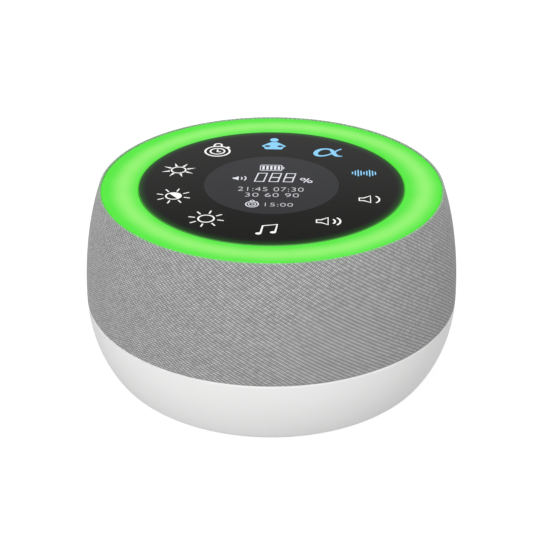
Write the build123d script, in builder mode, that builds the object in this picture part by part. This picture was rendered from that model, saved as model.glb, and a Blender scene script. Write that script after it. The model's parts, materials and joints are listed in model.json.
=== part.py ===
"""Bedside white noise machine: a round barrel with a lit touch panel on top.

Millimetres, +Z up. The origin is the centre of the foot ring's underside, and
the front of the machine faces -Y. Heights are worked out upwards from the foot
for what stands in the base, and downwards from the touch panel for what hangs
under it.
"""

import os
from math import asin, cos, degrees, radians, sin, sqrt

from build123d import *

# ---------------------------------------------------------------- outer form
body_radius = 60.0  # widest, at the equator
foot_proud = 0.8  # how far the rubber foot holds the base off the table
base_height = 24.4  # underside of the base to its top edge
equator_rise = 0.6  # the widest ring, above the base's top edge
panel_height = 61.5  # underside of the base to the face of the touch panel
wall_bulge = 20.7  # upper wall's ellipse, half width
wall_reach = 53.5  # upper wall's ellipse, half height
bowl_bulge = 25.0  # base bowl's ellipse, half width
bowl_reach = 33.8  # base bowl's ellipse, half height
bowl_corner = 6.0  # rounding where the bowl meets its flat underside

# ---------------------------------------------------------------- clearances
seat = 0.1  # between two faces that rest on each other
fit = 0.15  # radial, between a piece and the hole it drops into
thread_fit = 0.05  # radial, between a screw and its pilot hole
air = 0.6  # between pieces that must not touch

# ---------------------------------------------------------------- base
base_wall = 2.4
rim_bevel = 0.35  # shadow line at the base's top edge
lip_thick = 1.4  # spigot that locates the grille
lip_height = 2.5
lip_root = 3.0  # how far the spigot's root runs down inside the wall
tower_inset = 8.3  # from the bowl's lower edge in to the screw towers
tower_radius = 4.5
tower_count = 4
tower_bore = 3.1  # the screwdriver's way in, radius
tower_web = 4.0  # under each screw's head
foot_margin = 1.2  # rubber either side of the screw ways
foot_seat = 0.7  # depth of the foot ring's groove
foot_round = 0.4

# ---------------------------------------------------------------- rear port bay
bay_depth = 2.3
bay_width = 30.0
bay_height = 12.0
bay_corner = 4.0
mouth_break = 0.3  # eased edge round the socket's slot and the button's hole

# ---------------------------------------------------------------- electronics in the base
board_gap = 3.7  # from the board's edge to the bowl
board_front = 8.0  # straight front edge of the main board
board_thick = 1.6
board_raise = 4.0  # standoffs on the base's floor
board_post = 2.6
board_hole_margin = 6.0  # from the board's edge to its screws
board_hole_angles = [18.0, 68.0, 112.0, 162.0]
tongue_left = -10.0  # the board reaches further back under the socket
tongue_right = 0.5
tongue_gap = 1.0  # from the tongue to the bay's wall
chip_inset = 13.5  # from the board's edge to the outer chips
chip_large = 8.0
chip_medium = 5.0
chip_small = 4.0
chip_height = 1.1
coil_case = 6.0
coil_height = 2.8
coil_spot = (0.3, 0.7)  # shares of the chips' reach
connector_height = 2.2
connector_depth = 4.4
connector_width = 7.0
connector_spots = [(-0.75, 0.38), (0.75, 0.38)]  # shares of the chips' reach
usb_x = -5.5
usb_width = 8.94
usb_height = 3.16
usb_length = 7.3
usb_shell = 0.3
usb_back = 1.0  # solid back of the socket's shell
usb_tongue_width = 6.7
usb_tongue_thick = 0.7
usb_tongue_set = 1.2  # from the mouth in to the tongue's tip
switch_x = 7.5
switch_width = 6.0
switch_depth = 3.6
switch_height = 5.0
plunger_radius = 1.2
plunger_length = 1.8
button_radius = 3.5
button_proud = 0.6  # in front of the bay's face
button_crown = 0.4
button_travel = 0.4
collar_radius = 4.2
collar_thick = 0.8
collar_gap = 0.2  # between the collar and the wall that keeps the button in
battery_side_gap = 1.25  # from the cell's end to the screw towers
battery_back = 9.75  # from the screw towers back to the cell's middle
battery_depth = 34.0
battery_height = 8.0
battery_round = 2.5
battery_pad_thick = 0.8
battery_pad_share = 0.8  # of the cell's length and depth
cradle_wall = 1.2
cradle_height = 4.0
cradle_gap = 0.3
cradle_gate = 0.6  # share of the cell's length left open, front and back

# ---------------------------------------------------------------- speaker
baffle_rise = 25.4  # base's inner floor to the underside of the baffle
baffle_thick = 2.4
baffle_rib = 2.0
baffle_rib_width = 1.2
baffle_ribs = 12
baffle_rib_root = 2.0  # how far a rib runs in under the flange
baffle_collar_inset = 1.0  # collar round the speaker's hole, inside the flange
gasket_thick = 0.8
flange_width = 5.8  # round the cup
flange_thick = 1.0
cup_top_radius = 25.2
cup_taper = 7.0  # from the cup's top edge in to its floor
cup_depth = 10.3
cup_wall = 1.0
cup_windows = 6
cup_window_angle = 36.0
cup_window_margin = 1.0  # solid band left under the flange
plate_margin = 0.2  # from the cup's floor in to the steel plates
top_plate_thick = 2.0
magnet_proud = 0.8  # magnet, outside the cup's floor
magnet_bore = 10.0
magnet_thick = 4.5
yoke_thick = 2.0
pole_radius = 6.5
gap_radius = 8.2  # bore of the top plate
coil_radius = 6.9  # inside of the former
coil_former = 0.25
coil_winding = 0.4
coil_winding_length = 4.5
coil_collar = 1.3  # width of the collar that holds the cone
coil_depth = 3.4  # how far the coil reaches below the top plate's upper face
cone_inset = 5.0  # from the cup's top edge in to the cone's rim
cone_skin = 0.5
cone_rim_width = 1.3
cone_neck_gap = 0.4  # the neck outside the former's bore
cone_neck_width = 1.2
cone_flare = 34.0  # radius of the cone's curved side
surround_height = 3.2
surround_skin = 0.45
surround_bend = 1.2  # upper bend, outside the roll's middle
surround_skew = 0.3
surround_foot = 0.2  # lower bends, either side of the middle
surround_lip = 0.7  # the rubber edge's hold on the flange
spider_height = 3.2
spider_skin = 0.4
spider_steps = 3
spider_flat = 1.0  # plain rim at the coil
spider_hem = 1.4  # plain rim in the cup
spider_wave = 0.15
cap_radius = 8.8
cap_rise = 2.6
cap_lift = 0.4  # the cap's edge above the cone's neck
edge_break = 0.4

# ---------------------------------------------------------------- grille and sleeve
sleeve_thick = 0.8
hem_thick = 0.6
hem_width = 2.6
rim_rise = 0.5  # the sleeve's top edge above the touch panel
rim_round = 0.35
grille_wall = 2.0
ledge_thick = 2.0
ledge_overlap = 2.2  # how far the deck sits on the ledge
slot_count = 48
slot_rows = 3
slot_width = 3.6
slot_bar = 1.8  # plastic left between two rows
slot_margin = 3.6  # plain band at the grille's lower edge

# ---------------------------------------------------------------- top deck
ring_width = 11.35
ring_thick = 2.3
ring_rise = 0.3  # ring's outer edge above the touch panel
ring_crown = 0.2
ring_round = 0.45
shoulder_width = 1.4
shoulder_height = 2.4
deck_wall = 1.5
deck_floor = 1.8
deck_post = 3.5
deck_post_hole = 10.5
ring_board_gap = 0.5  # round the ring board, in its trough
ring_board_thick = 1.2
ring_led_count = 24
led_depth = 2.8
led_width = 3.5
led_height = 1.6
deflector_radius = 22.0
deflector_tip = 2.4
deflector_height = 9.0
deflector_skin = 1.6
deflector_boss = 4.2
deflector_flare = 1.15  # curve of its side, to its radius
deflector_root = 2.6  # solid tip, in skins
deflector_hole = 0.6  # share of its height drilled for the screw

# ---------------------------------------------------------------- touch panel
lens_thick = 2.0
lens_round = 0.3
touch_band = 20.6  # from the lens's edge in to the display window
window_thick = 0.95
window_ledge = 1.2
wells_height = 5.5
well_web = 7.0  # between two light wells at the lens
well_taper = 6.0
icon_count = 10
icon_start = 18.0  # degrees, the first symbol to the left of +X
panel_gap = 0.45  # round the touch board and the wells
touch_board_thick = 1.2
standoff_height = 1.9
standoff_radius = 2.4
standoff_margin = 2.6  # from the board's edge to its screws
standoff_angles = [36.0, 144.0, 216.0, 324.0]
display_rim = 0.8  # the window overlaps the display's case
display_frame = 1.2
cable_width = 12.0
cable_thick = 0.35
cable_shift = 0.325  # from the middle of its gap towards the lens tube
cable_room = 1.0  # round the flat cable, in each slot

# ---------------------------------------------------------------- screws
m3_shank = 1.45  # radius, under the thread's own 1.5
m3_head = 2.8
m3_rise = 2.0
m3_length = 16.0
m26_shank = 1.25
m26_head = 2.1
m26_rise = 1.4
m26_length = 6.0
m2_shank = 0.95
m2_head = 1.8
m2_rise = 1.2
m2_length = 4.0
screw_recess = 0.6  # half width and depth of the drive
screw_crown = 0.55  # flat top, to the head
screw_edge = 0.45  # straight side, to the rise
screw_point = 0.5  # tip, to the shank
screw_m3 = (m3_shank, m3_head, m3_rise, m3_length)
screw_m26 = (m26_shank, m26_head, m26_rise, m26_length)
screw_m2 = (m2_shank, m2_head, m2_rise, m2_length)

# ---------------------------------------------------------------- heights
base_low = foot_proud
floor_z = base_low + base_wall
seam_z = base_low + base_height
equator_z = seam_z + equator_rise
panel_z = base_low + panel_height
rim_z = panel_z + rim_rise

battery_pad_low = floor_z + seat
battery_low = battery_pad_low + battery_pad_thick + seat
board_low = floor_z + board_raise + seat
board_top = board_low + board_thick
port_z = board_top + seat + usb_height / 2
button_z = board_top + seat + switch_height / 2
bay_z = (port_z + button_z) / 2

baffle_low = floor_z + baffle_rise
baffle_top = baffle_low + baffle_thick
tower_top = baffle_low - seat
gasket_low = baffle_top + seat
flange_low = gasket_low + gasket_thick + seat
flange_top = flange_low + flange_thick
cup_low = flange_low - cup_depth
top_plate_top = cup_low - seat
top_plate_low = top_plate_top - top_plate_thick
magnet_top = top_plate_low - seat
magnet_low = magnet_top - magnet_thick
yoke_top = magnet_low - seat
yoke_low = yoke_top - yoke_thick
surround_low = flange_top + seat + surround_skin - surround_height
cone_rim_top = surround_low - seat
spider_low = cup_low + cup_wall + seat
spider_top = spider_low + spider_height
coil_low = top_plate_top - coil_depth
coil_collar_low = spider_top + seat

lens_low = panel_z - lens_thick
wells_top = lens_low - seat
wells_low = wells_top - wells_height
touch_board_top = wells_low - seat
touch_board_low = touch_board_top - touch_board_thick
standoff_top = touch_board_low - seat
deck_floor_top = standoff_top - standoff_height
deck_low = deck_floor_top - deck_floor
ring_low = panel_z - ring_thick
deck_rim_top = ring_low - seat
hem_top = ring_low - seat
grille_top = hem_top - hem_thick - seat
ledge_top = deck_low - seat
sleeve_low = seam_z + seat
grille_low = sleeve_low + hem_thick + seat

# ---------------------------------------------------------------- insets from the outer form
sleeve_inner_inset = sleeve_thick
grille_outer_inset = sleeve_thick + seat
grille_inner_inset = grille_outer_inset + grille_wall


def wall_radius(height, inset=0.0):
    """Radius of the upper wall, moved in by inset, at a height."""
    rise = (height - equator_z) / (wall_reach - inset)
    return body_radius - wall_bulge + (wall_bulge - inset) * sqrt(1 - rise**2)


def bowl_radius(height, inset=0.0):
    """Radius of the base's bowl, moved in by inset, at a height."""
    rise = (height - equator_z) / (bowl_reach - inset)
    return body_radius - bowl_bulge + (bowl_bulge - inset) * sqrt(1 - rise**2)


def wall_arc(inset, low, high):
    """The upper wall's elliptical line, from a low to a high point."""
    reach = wall_reach - inset
    start = degrees(asin((low - equator_z) / reach))
    return EllipticalCenterArc(
        (body_radius - wall_bulge, equator_z),
        wall_bulge - inset,
        reach,
        start_angle=start,
        arc_size=degrees(asin((high - equator_z) / reach)) - start,
    )


def bowl_arc(inset, low, high):
    """The bowl's elliptical line, from a low to a high point."""
    reach = bowl_reach - inset
    start = degrees(asin((low - equator_z) / reach))
    return EllipticalCenterArc(
        (body_radius - bowl_bulge, equator_z),
        bowl_bulge - inset,
        reach,
        start_angle=start,
        arc_size=degrees(asin((high - equator_z) / reach)) - start,
    )


def wall_band(outer_inset, inner_inset, low, high):
    """Section of a skin that follows the upper wall."""
    with BuildSketch(Plane.XZ) as band:
        with BuildLine():
            outside = wall_arc(outer_inset, low, high)
            inside = wall_arc(inner_inset, low, high)
            Line(outside @ 0, inside @ 0)
            Line(outside @ 1, inside @ 1)
        make_face()
    return band.sketch


def bowl_solid_section(inset, low, high, corner, bevel=0.0):
    """Section of the full bowl, moved in by inset, out to the axis."""
    with BuildSketch(Plane.XZ) as section:
        with BuildLine():
            side = bowl_arc(inset, low, high - bevel)
            Polyline(side @ 0, (0, low), (0, high), ((side @ 1).X - bevel, high))
            if bevel:
                Line(side @ 1, ((side @ 1).X - bevel, high))
        make_face()
        fillet(section.vertices().group_by(Axis.Y)[0].sort_by(Axis.X)[-1], corner)
    return section.sketch


def ring_section(inner, outer, low, high):
    """A rectangle to turn about Z: a flat ring or a plain tube."""
    with BuildSketch(Plane.XZ) as section:
        with BuildLine():
            Polyline((inner, low), (outer, low), (outer, high), (inner, high), close=True)
        make_face()
    return section.sketch


def turned(points):
    """A polygon of (radius, height) points to turn about Z."""
    with BuildSketch(Plane.XZ) as section:
        with BuildLine():
            Polyline(*points, close=True)
        make_face()
    return section.sketch


def screw_section(kind, seat_z, drive_up=True):
    """Half section of a pan-head screw whose head rests on seat_z."""
    shank, head, rise, length = kind
    way = 1 if drive_up else -1
    with BuildSketch(Plane.XZ) as section:
        with BuildLine():
            under = (head, seat_z + way * seat)
            top = (head * screw_crown, seat_z + way * (seat + rise))
            Polyline(
                (0, seat_z - way * length),
                (shank * screw_point, seat_z - way * length),
                (shank, seat_z - way * (length - shank)),
                (shank, seat_z + way * seat),
                under,
                (head, seat_z + way * (seat + rise * screw_edge)),
                top,
                (screw_recess, seat_z + way * (seat + rise)),
                (screw_recess, seat_z + way * (seat + rise - screw_recess)),
                (0, seat_z + way * (seat + rise - screw_recess)),
                close=True,
            )
        make_face()
    return section.sketch


def polar_points(radius, angles):
    """Points on a circle at the given angles."""
    return [(radius * cos(radians(a)), radius * sin(radians(a))) for a in angles]


# ---------------------------------------------------------------- plan, from the outer form inwards
tower_circle = bowl_radius(base_low) - tower_inset
tower_step = tower_circle * cos(radians(45))  # a tower's x and y
foot_inner = tower_circle - tower_bore - foot_margin
foot_outer = tower_circle + tower_bore + foot_margin
battery_length = 2 * (tower_step - tower_radius - battery_side_gap)
battery_y = battery_back - tower_step
board_radius = bowl_radius(board_low, base_wall) - board_gap
bay_y = bowl_radius(bay_z) - bay_depth
bay_floor_y = bay_y - base_wall
tongue_y = bay_floor_y - tongue_gap

flange_radius = cup_top_radius + flange_width
speaker_screw_circle = (flange_radius + cup_top_radius) / 2 + screw_recess / 2
cup_low_radius = cup_top_radius - cup_taper
plate_radius = cup_low_radius - plate_margin
magnet_radius = cup_low_radius + magnet_proud
cone_radius = cup_top_radius - cone_inset
surround_outer = cup_top_radius + surround_lip

ring_outer_top = wall_radius(panel_z + ring_rise, grille_outer_inset)
ring_inner = ring_outer_top - ring_width
lens_radius = ring_inner - seat
deck_radius = wall_radius(grille_top, grille_inner_inset) - air
deck_tube_outer = ring_inner - fit
deck_tube_inner = deck_tube_outer - deck_wall
ledge_inner = deck_radius - ledge_overlap
wells_radius = deck_tube_inner - panel_gap
touch_board_radius = wells_radius
standoff_circle = touch_board_radius - standoff_margin
window_radius = lens_radius - touch_band
icon_circle = (lens_radius + window_radius) / 2
well_radius = icon_circle * sin(radians(180 / icon_count)) - well_web / 2
display_radius = window_radius - display_rim
cable_y = (flange_radius + deck_tube_inner) / 2 + cable_shift  # between speaker and lens tube
cable_slot = (cable_width + 2 * cable_room, cable_thick + 2 * cable_room)
ring_board_inner = deck_tube_outer + ring_board_gap
ring_board_outer = deck_radius - deck_wall - ring_board_gap
ring_led_circle = (ring_board_inner + ring_board_outer) / 2

tower_angles = [45 + 360 / tower_count * i for i in range(tower_count)]
tower_points = polar_points(tower_circle, tower_angles)
standoff_points = polar_points(standoff_circle, standoff_angles)
board_holes = polar_points(board_radius - board_hole_margin, board_hole_angles)
speaker_screw_points = polar_points(speaker_screw_circle, [0, 90, 180, 270])

os.makedirs("parts", exist_ok=True)


# ================================================================ base
head_seat_z = tower_top - tower_web
lip_outer = wall_radius(grille_low, grille_inner_inset) - fit
lip_inner = lip_outer - lip_thick

with BuildPart() as base_shell:
    # moulded bowl with an even wall
    bowl = bowl_solid_section(0, base_low, seam_z, bowl_corner, rim_bevel)
    revolve(bowl, axis=Axis.Z)
    revolve(
        bowl_solid_section(base_wall, floor_z, seam_z, bowl_corner - base_wall),
        axis=Axis.Z,
        mode=Mode.SUBTRACT,
    )
    # thick pad behind the rear port bay, trimmed to the bowl's outside
    with BuildSketch(Plane.XZ.offset(-bay_floor_y)):
        with Locations((0, bay_z)):
            RectangleRounded(
                bay_width + 2 * base_wall, bay_height + 2 * base_wall, bay_corner + base_wall
            )
    extrude(amount=-(body_radius - bay_floor_y))
    revolve(bowl, axis=Axis.Z, mode=Mode.INTERSECT)
    # the bay itself, with the socket's slot and the button's hole
    with BuildSketch(Plane.XZ.offset(-bay_y)):
        with Locations((0, bay_z)):
            RectangleRounded(bay_width, bay_height, bay_corner)
    extrude(amount=-(body_radius - bay_y), mode=Mode.SUBTRACT)
    with BuildSketch(Plane.XZ.offset(-(bay_floor_y - base_wall))):
        with Locations((usb_x, port_z)):
            SlotOverall(usb_width + 2 * fit, usb_height + 2 * fit)
        with Locations((switch_x, button_z)):
            Circle(button_radius + fit)
    extrude(amount=-2 * base_wall, mode=Mode.SUBTRACT)
    mouths = base_shell.edges(Select.LAST).filter_by_position(Axis.Y, bay_y - seat, bay_y + seat)
    chamfer(mouths, mouth_break)
    # spigot that the grille drops over
    revolve(
        turned(
            [
                (lip_inner, seam_z - lip_root),
                (lip_inner, seam_z + lip_height),
                (lip_outer, seam_z + lip_height),
                (lip_outer, seam_z),
                (body_radius - base_wall / 2, seam_z),
                (body_radius - base_wall / 2, seam_z - lip_root),
                (body_radius - base_wall, seam_z - 2 * lip_root),
            ]
        ),
        axis=Axis.Z,
    )
    # screw towers up to the baffle, board posts and battery cradle
    with BuildSketch(Plane.XY.offset(floor_z - base_wall / 2)):
        with Locations(*tower_points):
            Circle(tower_radius)
    extrude(amount=tower_top - floor_z + base_wall / 2)
    with BuildSketch(Plane.XY.offset(floor_z - base_wall / 2)):
        with Locations(*board_holes):
            Circle(board_post)
    extrude(amount=board_raise + base_wall / 2)
    with BuildSketch(Plane.XY.offset(floor_z - base_wall / 2)):
        with Locations((0, battery_y)):
            RectangleRounded(
                battery_length + 2 * (cradle_gap + cradle_wall),
                battery_depth + 2 * (cradle_gap + cradle_wall),
                battery_round + cradle_wall,
            )
            RectangleRounded(
                battery_length + 2 * cradle_gap,
                battery_depth + 2 * cradle_gap,
                battery_round,
                mode=Mode.SUBTRACT,
            )
            # open corners, where a finger lifts the cell out
            Rectangle(battery_length * cradle_gate, body_radius, mode=Mode.SUBTRACT)
    extrude(amount=cradle_height + base_wall / 2)
    # screw ways, pilot holes and the foot ring's groove
    with BuildSketch(Plane.XY.offset(base_low)):
        with Locations(*tower_points):
            Circle(tower_bore)
    extrude(amount=head_seat_z - base_low, mode=Mode.SUBTRACT)
    with BuildSketch(Plane.XY.offset(head_seat_z)):
        with Locations(*tower_points):
            Circle(m3_shank + fit)
    extrude(amount=tower_web, mode=Mode.SUBTRACT)
    with BuildSketch(Plane.XY.offset(floor_z)):
        with Locations(*board_holes):
            Circle(m2_shank + thread_fit)
    extrude(amount=board_raise, mode=Mode.SUBTRACT)
    revolve(
        ring_section(foot_inner - fit, foot_outer + fit, base_low, base_low + foot_seat),
        axis=Axis.Z,
        mode=Mode.SUBTRACT,
    )
base_shell.part.label = "base_shell"
export_step(base_shell.part, "parts/base_shell.step")

with BuildPart() as foot_ring:
    revolve(
        ring_section(foot_inner, foot_outer, 0, base_low + foot_seat - seat), axis=Axis.Z
    )
    fillet(foot_ring.edges().group_by(Axis.Z)[0], foot_round)
foot_ring.part.label = "foot_ring"
export_step(foot_ring.part, "parts/foot_ring.step")

with BuildPart() as base_screw:
    revolve(screw_section(screw_m3, head_seat_z, drive_up=False), axis=Axis.Z)
with BuildPart() as base_screws:
    with Locations(*tower_points):
        add(base_screw.part)
base_screws.part.label = "base_screws"
export_step(base_screws.part, "parts/base_screws.step")


# ================================================================ power
with BuildPart() as battery_pad:
    with BuildSketch(Plane.XY.offset(battery_pad_low)):
        with Locations((0, battery_y)):
            RectangleRounded(
                battery_length * battery_pad_share,
                battery_depth * battery_pad_share,
                battery_round,
            )
    extrude(amount=battery_pad_thick)
battery_pad.part.label = "battery_pad"
export_step(battery_pad.part, "parts/battery_pad.step")

with BuildPart() as battery_cell:
    with BuildSketch(Plane.XY.offset(battery_low)):
        with Locations((0, battery_y)):
            RectangleRounded(battery_length, battery_depth, battery_round)
    extrude(amount=battery_height)
    fillet(battery_cell.edges().filter_by(GeomType.LINE).filter_by(Axis.X), battery_round)
battery_cell.part.label = "battery_cell"
export_step(battery_cell.part, "parts/battery_cell.step")


# ================================================================ main board
with BuildPart() as main_board:
    with BuildSketch(Plane.XY.offset(board_low)):
        Circle(board_radius)
        with Locations((0, board_front - body_radius)):
            Rectangle(2 * body_radius, 2 * body_radius, mode=Mode.SUBTRACT)
        with Locations(((tongue_left + tongue_right) / 2, tongue_y / 2)):
            Rectangle(tongue_right - tongue_left, tongue_y)
        with Locations((0, board_front / 2)):
            Rectangle(2 * body_radius, board_front, mode=Mode.SUBTRACT)
        with Locations(*tower_points):
            Circle(tower_radius + air, mode=Mode.SUBTRACT)
        with Locations(*board_holes):
            Circle(m2_shank + fit, mode=Mode.SUBTRACT)
    extrude(amount=board_thick)
main_board.part.label = "main_board"
export_step(main_board.part, "parts/main_board.step")

chip_seat = board_top + seat
chip_side = board_radius - chip_inset
chips = [  # x, y, width, depth
    (-0.6 * chip_side, 0.75 * chip_side, chip_large, chip_large),
    (-0.95 * chip_side, 0.6 * chip_side, chip_medium, chip_medium),
    (0.6 * chip_side, 0.75 * chip_side, chip_medium, chip_medium),
    (-0.1 * chip_side, 0.6 * chip_side, chip_small, chip_small),
    (0.95 * chip_side, 0.6 * chip_side, chip_small, chip_medium),
]
with BuildPart() as board_chips:
    for x, y, width, depth in chips:
        with BuildSketch(Plane.XY.offset(chip_seat)):
            with Locations((x, y)):
                Rectangle(width, depth)
        extrude(amount=chip_height)
    # wound coil in a round-cornered case
    with BuildSketch(Plane.XY.offset(chip_seat)):
        with Locations((coil_spot[0] * chip_side, coil_spot[1] * chip_side)):
            RectangleRounded(coil_case, coil_case, coil_case / 4)
    extrude(amount=coil_height)
board_chips.part.label = "board_chips"
export_step(board_chips.part, "parts/board_chips.step")

cable_low = chip_seat + connector_height + seat
with BuildPart() as board_connectors:
    with BuildSketch(Plane.XY.offset(chip_seat)):
        with Locations((0, cable_y)):
            Rectangle(cable_width + 2 * cable_room, connector_depth)
        with Locations(*[(x * chip_side, y * chip_side) for x, y in connector_spots]):
            Rectangle(connector_width, connector_depth)
    extrude(amount=connector_height)
board_connectors.part.label = "board_connectors"
export_step(board_connectors.part, "parts/board_connectors.step")

with BuildPart() as board_screw:
    revolve(screw_section(screw_m2, board_top), axis=Axis.Z)
with BuildPart() as board_screws:
    with Locations(*board_holes):
        add(board_screw.part)
board_screws.part.label = "board_screws"
export_step(board_screws.part, "parts/board_screws.step")

usb_back_y = bay_y - seat - usb_length
with BuildPart() as usb_socket:
    with BuildSketch(Plane.XZ.offset(-usb_back_y)):
        with Locations((usb_x, port_z)):
            SlotOverall(usb_width, usb_height)
    extrude(amount=-usb_length)
    with BuildSketch(Plane.XZ.offset(-(usb_back_y + usb_back))):
        with Locations((usb_x, port_z)):
            SlotOverall(usb_width - 2 * usb_shell, usb_height - 2 * usb_shell)
    extrude(amount=-usb_length, mode=Mode.SUBTRACT)
usb_socket.part.label = "usb_socket"
export_step(usb_socket.part, "parts/usb_socket.step")

with BuildPart() as usb_tongue:
    with BuildSketch(Plane.XZ.offset(-(usb_back_y + usb_back + seat))):
        with Locations((usb_x, port_z)):
            Rectangle(usb_tongue_width, usb_tongue_thick)
    extrude(amount=-(usb_length - usb_back - usb_tongue_set))
usb_tongue.part.label = "usb_tongue"
export_step(usb_tongue.part, "parts/usb_tongue.step")

# ---------------------------------------------------------------- power button
collar_front_y = bay_floor_y - collar_gap
collar_back_y = collar_front_y - collar_thick
plunger_front_y = collar_back_y - seat
switch_front_y = plunger_front_y - plunger_length
with BuildPart() as power_switch:
    with BuildSketch(Plane.XZ.offset(-(switch_front_y - switch_depth))):
        with Locations((switch_x, button_z)):
            Rectangle(switch_width, switch_height)
    extrude(amount=-switch_depth)
    chamfer(power_switch.faces().sort_by(Axis.Y)[-1].edges(), edge_break)
    with BuildSketch(Plane.XZ.offset(-switch_front_y)):
        with Locations((switch_x, button_z)):
            Circle(plunger_radius + thread_fit)
    extrude(amount=2 * button_travel + seat, mode=Mode.SUBTRACT)
power_switch.part.label = "power_switch"
export_step(power_switch.part, "parts/power_switch.step")

with BuildPart() as switch_plunger:
    with BuildSketch(Plane.XZ.offset(-(switch_front_y - button_travel))):
        with Locations((switch_x, button_z)):
            Circle(plunger_radius)
    extrude(amount=-(plunger_length + button_travel))
switch_plunger.part.label = "switch_plunger"
export_step(switch_plunger.part, "parts/switch_plunger.step")

with BuildPart() as power_button:
    with BuildSketch(Plane.XZ.offset(-collar_back_y)):
        with Locations((switch_x, button_z)):
            Circle(collar_radius)
    extrude(amount=-collar_thick)
    with BuildSketch(Plane.XZ.offset(-collar_front_y)):
        with Locations((switch_x, button_z)):
            Circle(button_radius)
    extrude(amount=-(bay_y + button_proud - collar_front_y))
    fillet(power_button.edges().sort_by(Axis.Y)[-1], button_crown)
power_button.part.label = "power_button"
export_step(power_button.part, "parts/power_button.step")


# ================================================================ speaker
baffle_radius = wall_radius(baffle_top, grille_inner_inset) - air / 2
baffle_hole = cup_top_radius + air
with BuildPart() as speaker_baffle:
    with BuildSketch(Plane.XY.offset(baffle_low)):
        Circle(baffle_radius)
        Circle(baffle_hole, mode=Mode.SUBTRACT)
        with Locations(*tower_points):
            Circle(m3_shank + fit, mode=Mode.SUBTRACT)
        with Locations((0, cable_y)):
            SlotOverall(cable_slot[0], cable_slot[1], mode=Mode.SUBTRACT)
    extrude(amount=baffle_thick)
    # stiffening ribs and a collar round the speaker's hole, underneath
    with BuildSketch(Plane.XY.offset(baffle_low - baffle_rib)):
        Circle(flange_radius - baffle_collar_inset)
        Circle(baffle_hole, mode=Mode.SUBTRACT)
    extrude(amount=baffle_rib)
    rib_low = flange_radius - baffle_rib_root
    rib_length = lip_inner - air - rib_low
    with BuildSketch(Plane.XY.offset(baffle_low - baffle_rib)):
        with PolarLocations(
            rib_low + rib_length / 2, baffle_ribs, start_angle=180 / baffle_ribs
        ):
            Rectangle(rib_length, baffle_rib_width)
        with Locations(*tower_points):
            Circle(tower_radius + air, mode=Mode.SUBTRACT)
    extrude(amount=baffle_rib)
    with BuildSketch(Plane.XY.offset(baffle_low - baffle_rib)):
        with Locations(*speaker_screw_points):
            Circle(m26_shank + thread_fit)
    extrude(amount=baffle_thick + baffle_rib, mode=Mode.SUBTRACT)
speaker_baffle.part.label = "speaker_baffle"
export_step(speaker_baffle.part, "parts/speaker_baffle.step")

with BuildPart() as speaker_gasket:
    with BuildSketch(Plane.XY.offset(gasket_low)):
        Circle(flange_radius)
        Circle(baffle_hole, mode=Mode.SUBTRACT)
        with Locations(*speaker_screw_points):
            Circle(m26_shank + fit, mode=Mode.SUBTRACT)
    extrude(amount=gasket_thick)
speaker_gasket.part.label = "speaker_gasket"
export_step(speaker_gasket.part, "parts/speaker_gasket.step")

cup_lean = (cup_top_radius - cup_low_radius) / cup_depth
cup_slant = cup_wall * sqrt(1 + cup_lean**2)  # wall measured level
cup_floor_top = cup_low + cup_wall
with BuildPart() as speaker_basket:
    revolve(
        turned(
            [
                (gap_radius + air, cup_low),
                (cup_low_radius, cup_low),
                (cup_top_radius, flange_low),
                (flange_radius, flange_low),
                (flange_radius, flange_top),
                (cup_top_radius + flange_thick * cup_lean - cup_slant, flange_top),
                (cup_low_radius + cup_wall * cup_lean - cup_slant, cup_floor_top),
                (gap_radius + air, cup_floor_top),
            ]
        ),
        axis=Axis.Z,
    )
    # windows in the cup's side
    with BuildSketch(Plane.XY.offset(cup_floor_top + cup_wall)):
        with PolarLocations(0, cup_windows):
            with BuildLine():
                window = CenterArc(
                    (0, 0), cup_top_radius, -cup_window_angle / 2, cup_window_angle
                )
                Polyline(window @ 0, (0, 0), window @ 1)
            make_face()
        Circle(cup_low_radius - cup_slant, mode=Mode.SUBTRACT)
    extrude(amount=cup_depth - 3 * cup_wall - cup_window_margin, mode=Mode.SUBTRACT)
    with BuildSketch(Plane.XY.offset(flange_low)):
        with Locations(*speaker_screw_points):
            Circle(m26_shank + fit)
    extrude(amount=flange_thick, mode=Mode.SUBTRACT)
speaker_basket.part.label = "speaker_basket"
export_step(speaker_basket.part, "parts/speaker_basket.step")

with BuildPart() as speaker_top_plate:
    revolve(
        ring_section(gap_radius, plate_radius, top_plate_low, top_plate_top), axis=Axis.Z
    )
speaker_top_plate.part.label = "speaker_top_plate"
export_step(speaker_top_plate.part, "parts/speaker_top_plate.step")

with BuildPart() as speaker_magnet:
    revolve(ring_section(magnet_bore, magnet_radius, magnet_low, magnet_top), axis=Axis.Z)
    rims = speaker_magnet.edges().filter_by(GeomType.CIRCLE).sort_by(SortBy.RADIUS)[-2:]
    chamfer(rims, edge_break)
speaker_magnet.part.label = "speaker_magnet"
export_step(speaker_magnet.part, "parts/speaker_magnet.step")

with BuildPart() as speaker_yoke:
    revolve(
        turned(
            [
                (0, yoke_low),
                (plate_radius, yoke_low),
                (plate_radius, yoke_top),
                (pole_radius, yoke_top),
                (pole_radius, top_plate_top),
                (0, top_plate_top),
            ]
        ),
        axis=Axis.Z,
    )
speaker_yoke.part.label = "speaker_yoke"
export_step(speaker_yoke.part, "parts/speaker_yoke.step")

coil_outer = coil_radius + coil_former
collar_outer = coil_outer + coil_collar
with BuildPart() as voice_coil:
    revolve(
        turned(
            [
                (coil_radius, coil_low),
                (coil_outer + coil_winding, coil_low),
                (coil_outer + coil_winding, coil_low + coil_winding_length),
                (coil_outer, coil_low + coil_winding_length),
                (coil_outer, coil_collar_low),
                (collar_outer, coil_collar_low),
                (collar_outer, coil_collar_low + cone_skin),
                (coil_radius, coil_collar_low + cone_skin),
            ]
        ),
        axis=Axis.Z,
    )
voice_coil.part.label = "voice_coil"
export_step(voice_coil.part, "parts/voice_coil.step")

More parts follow.
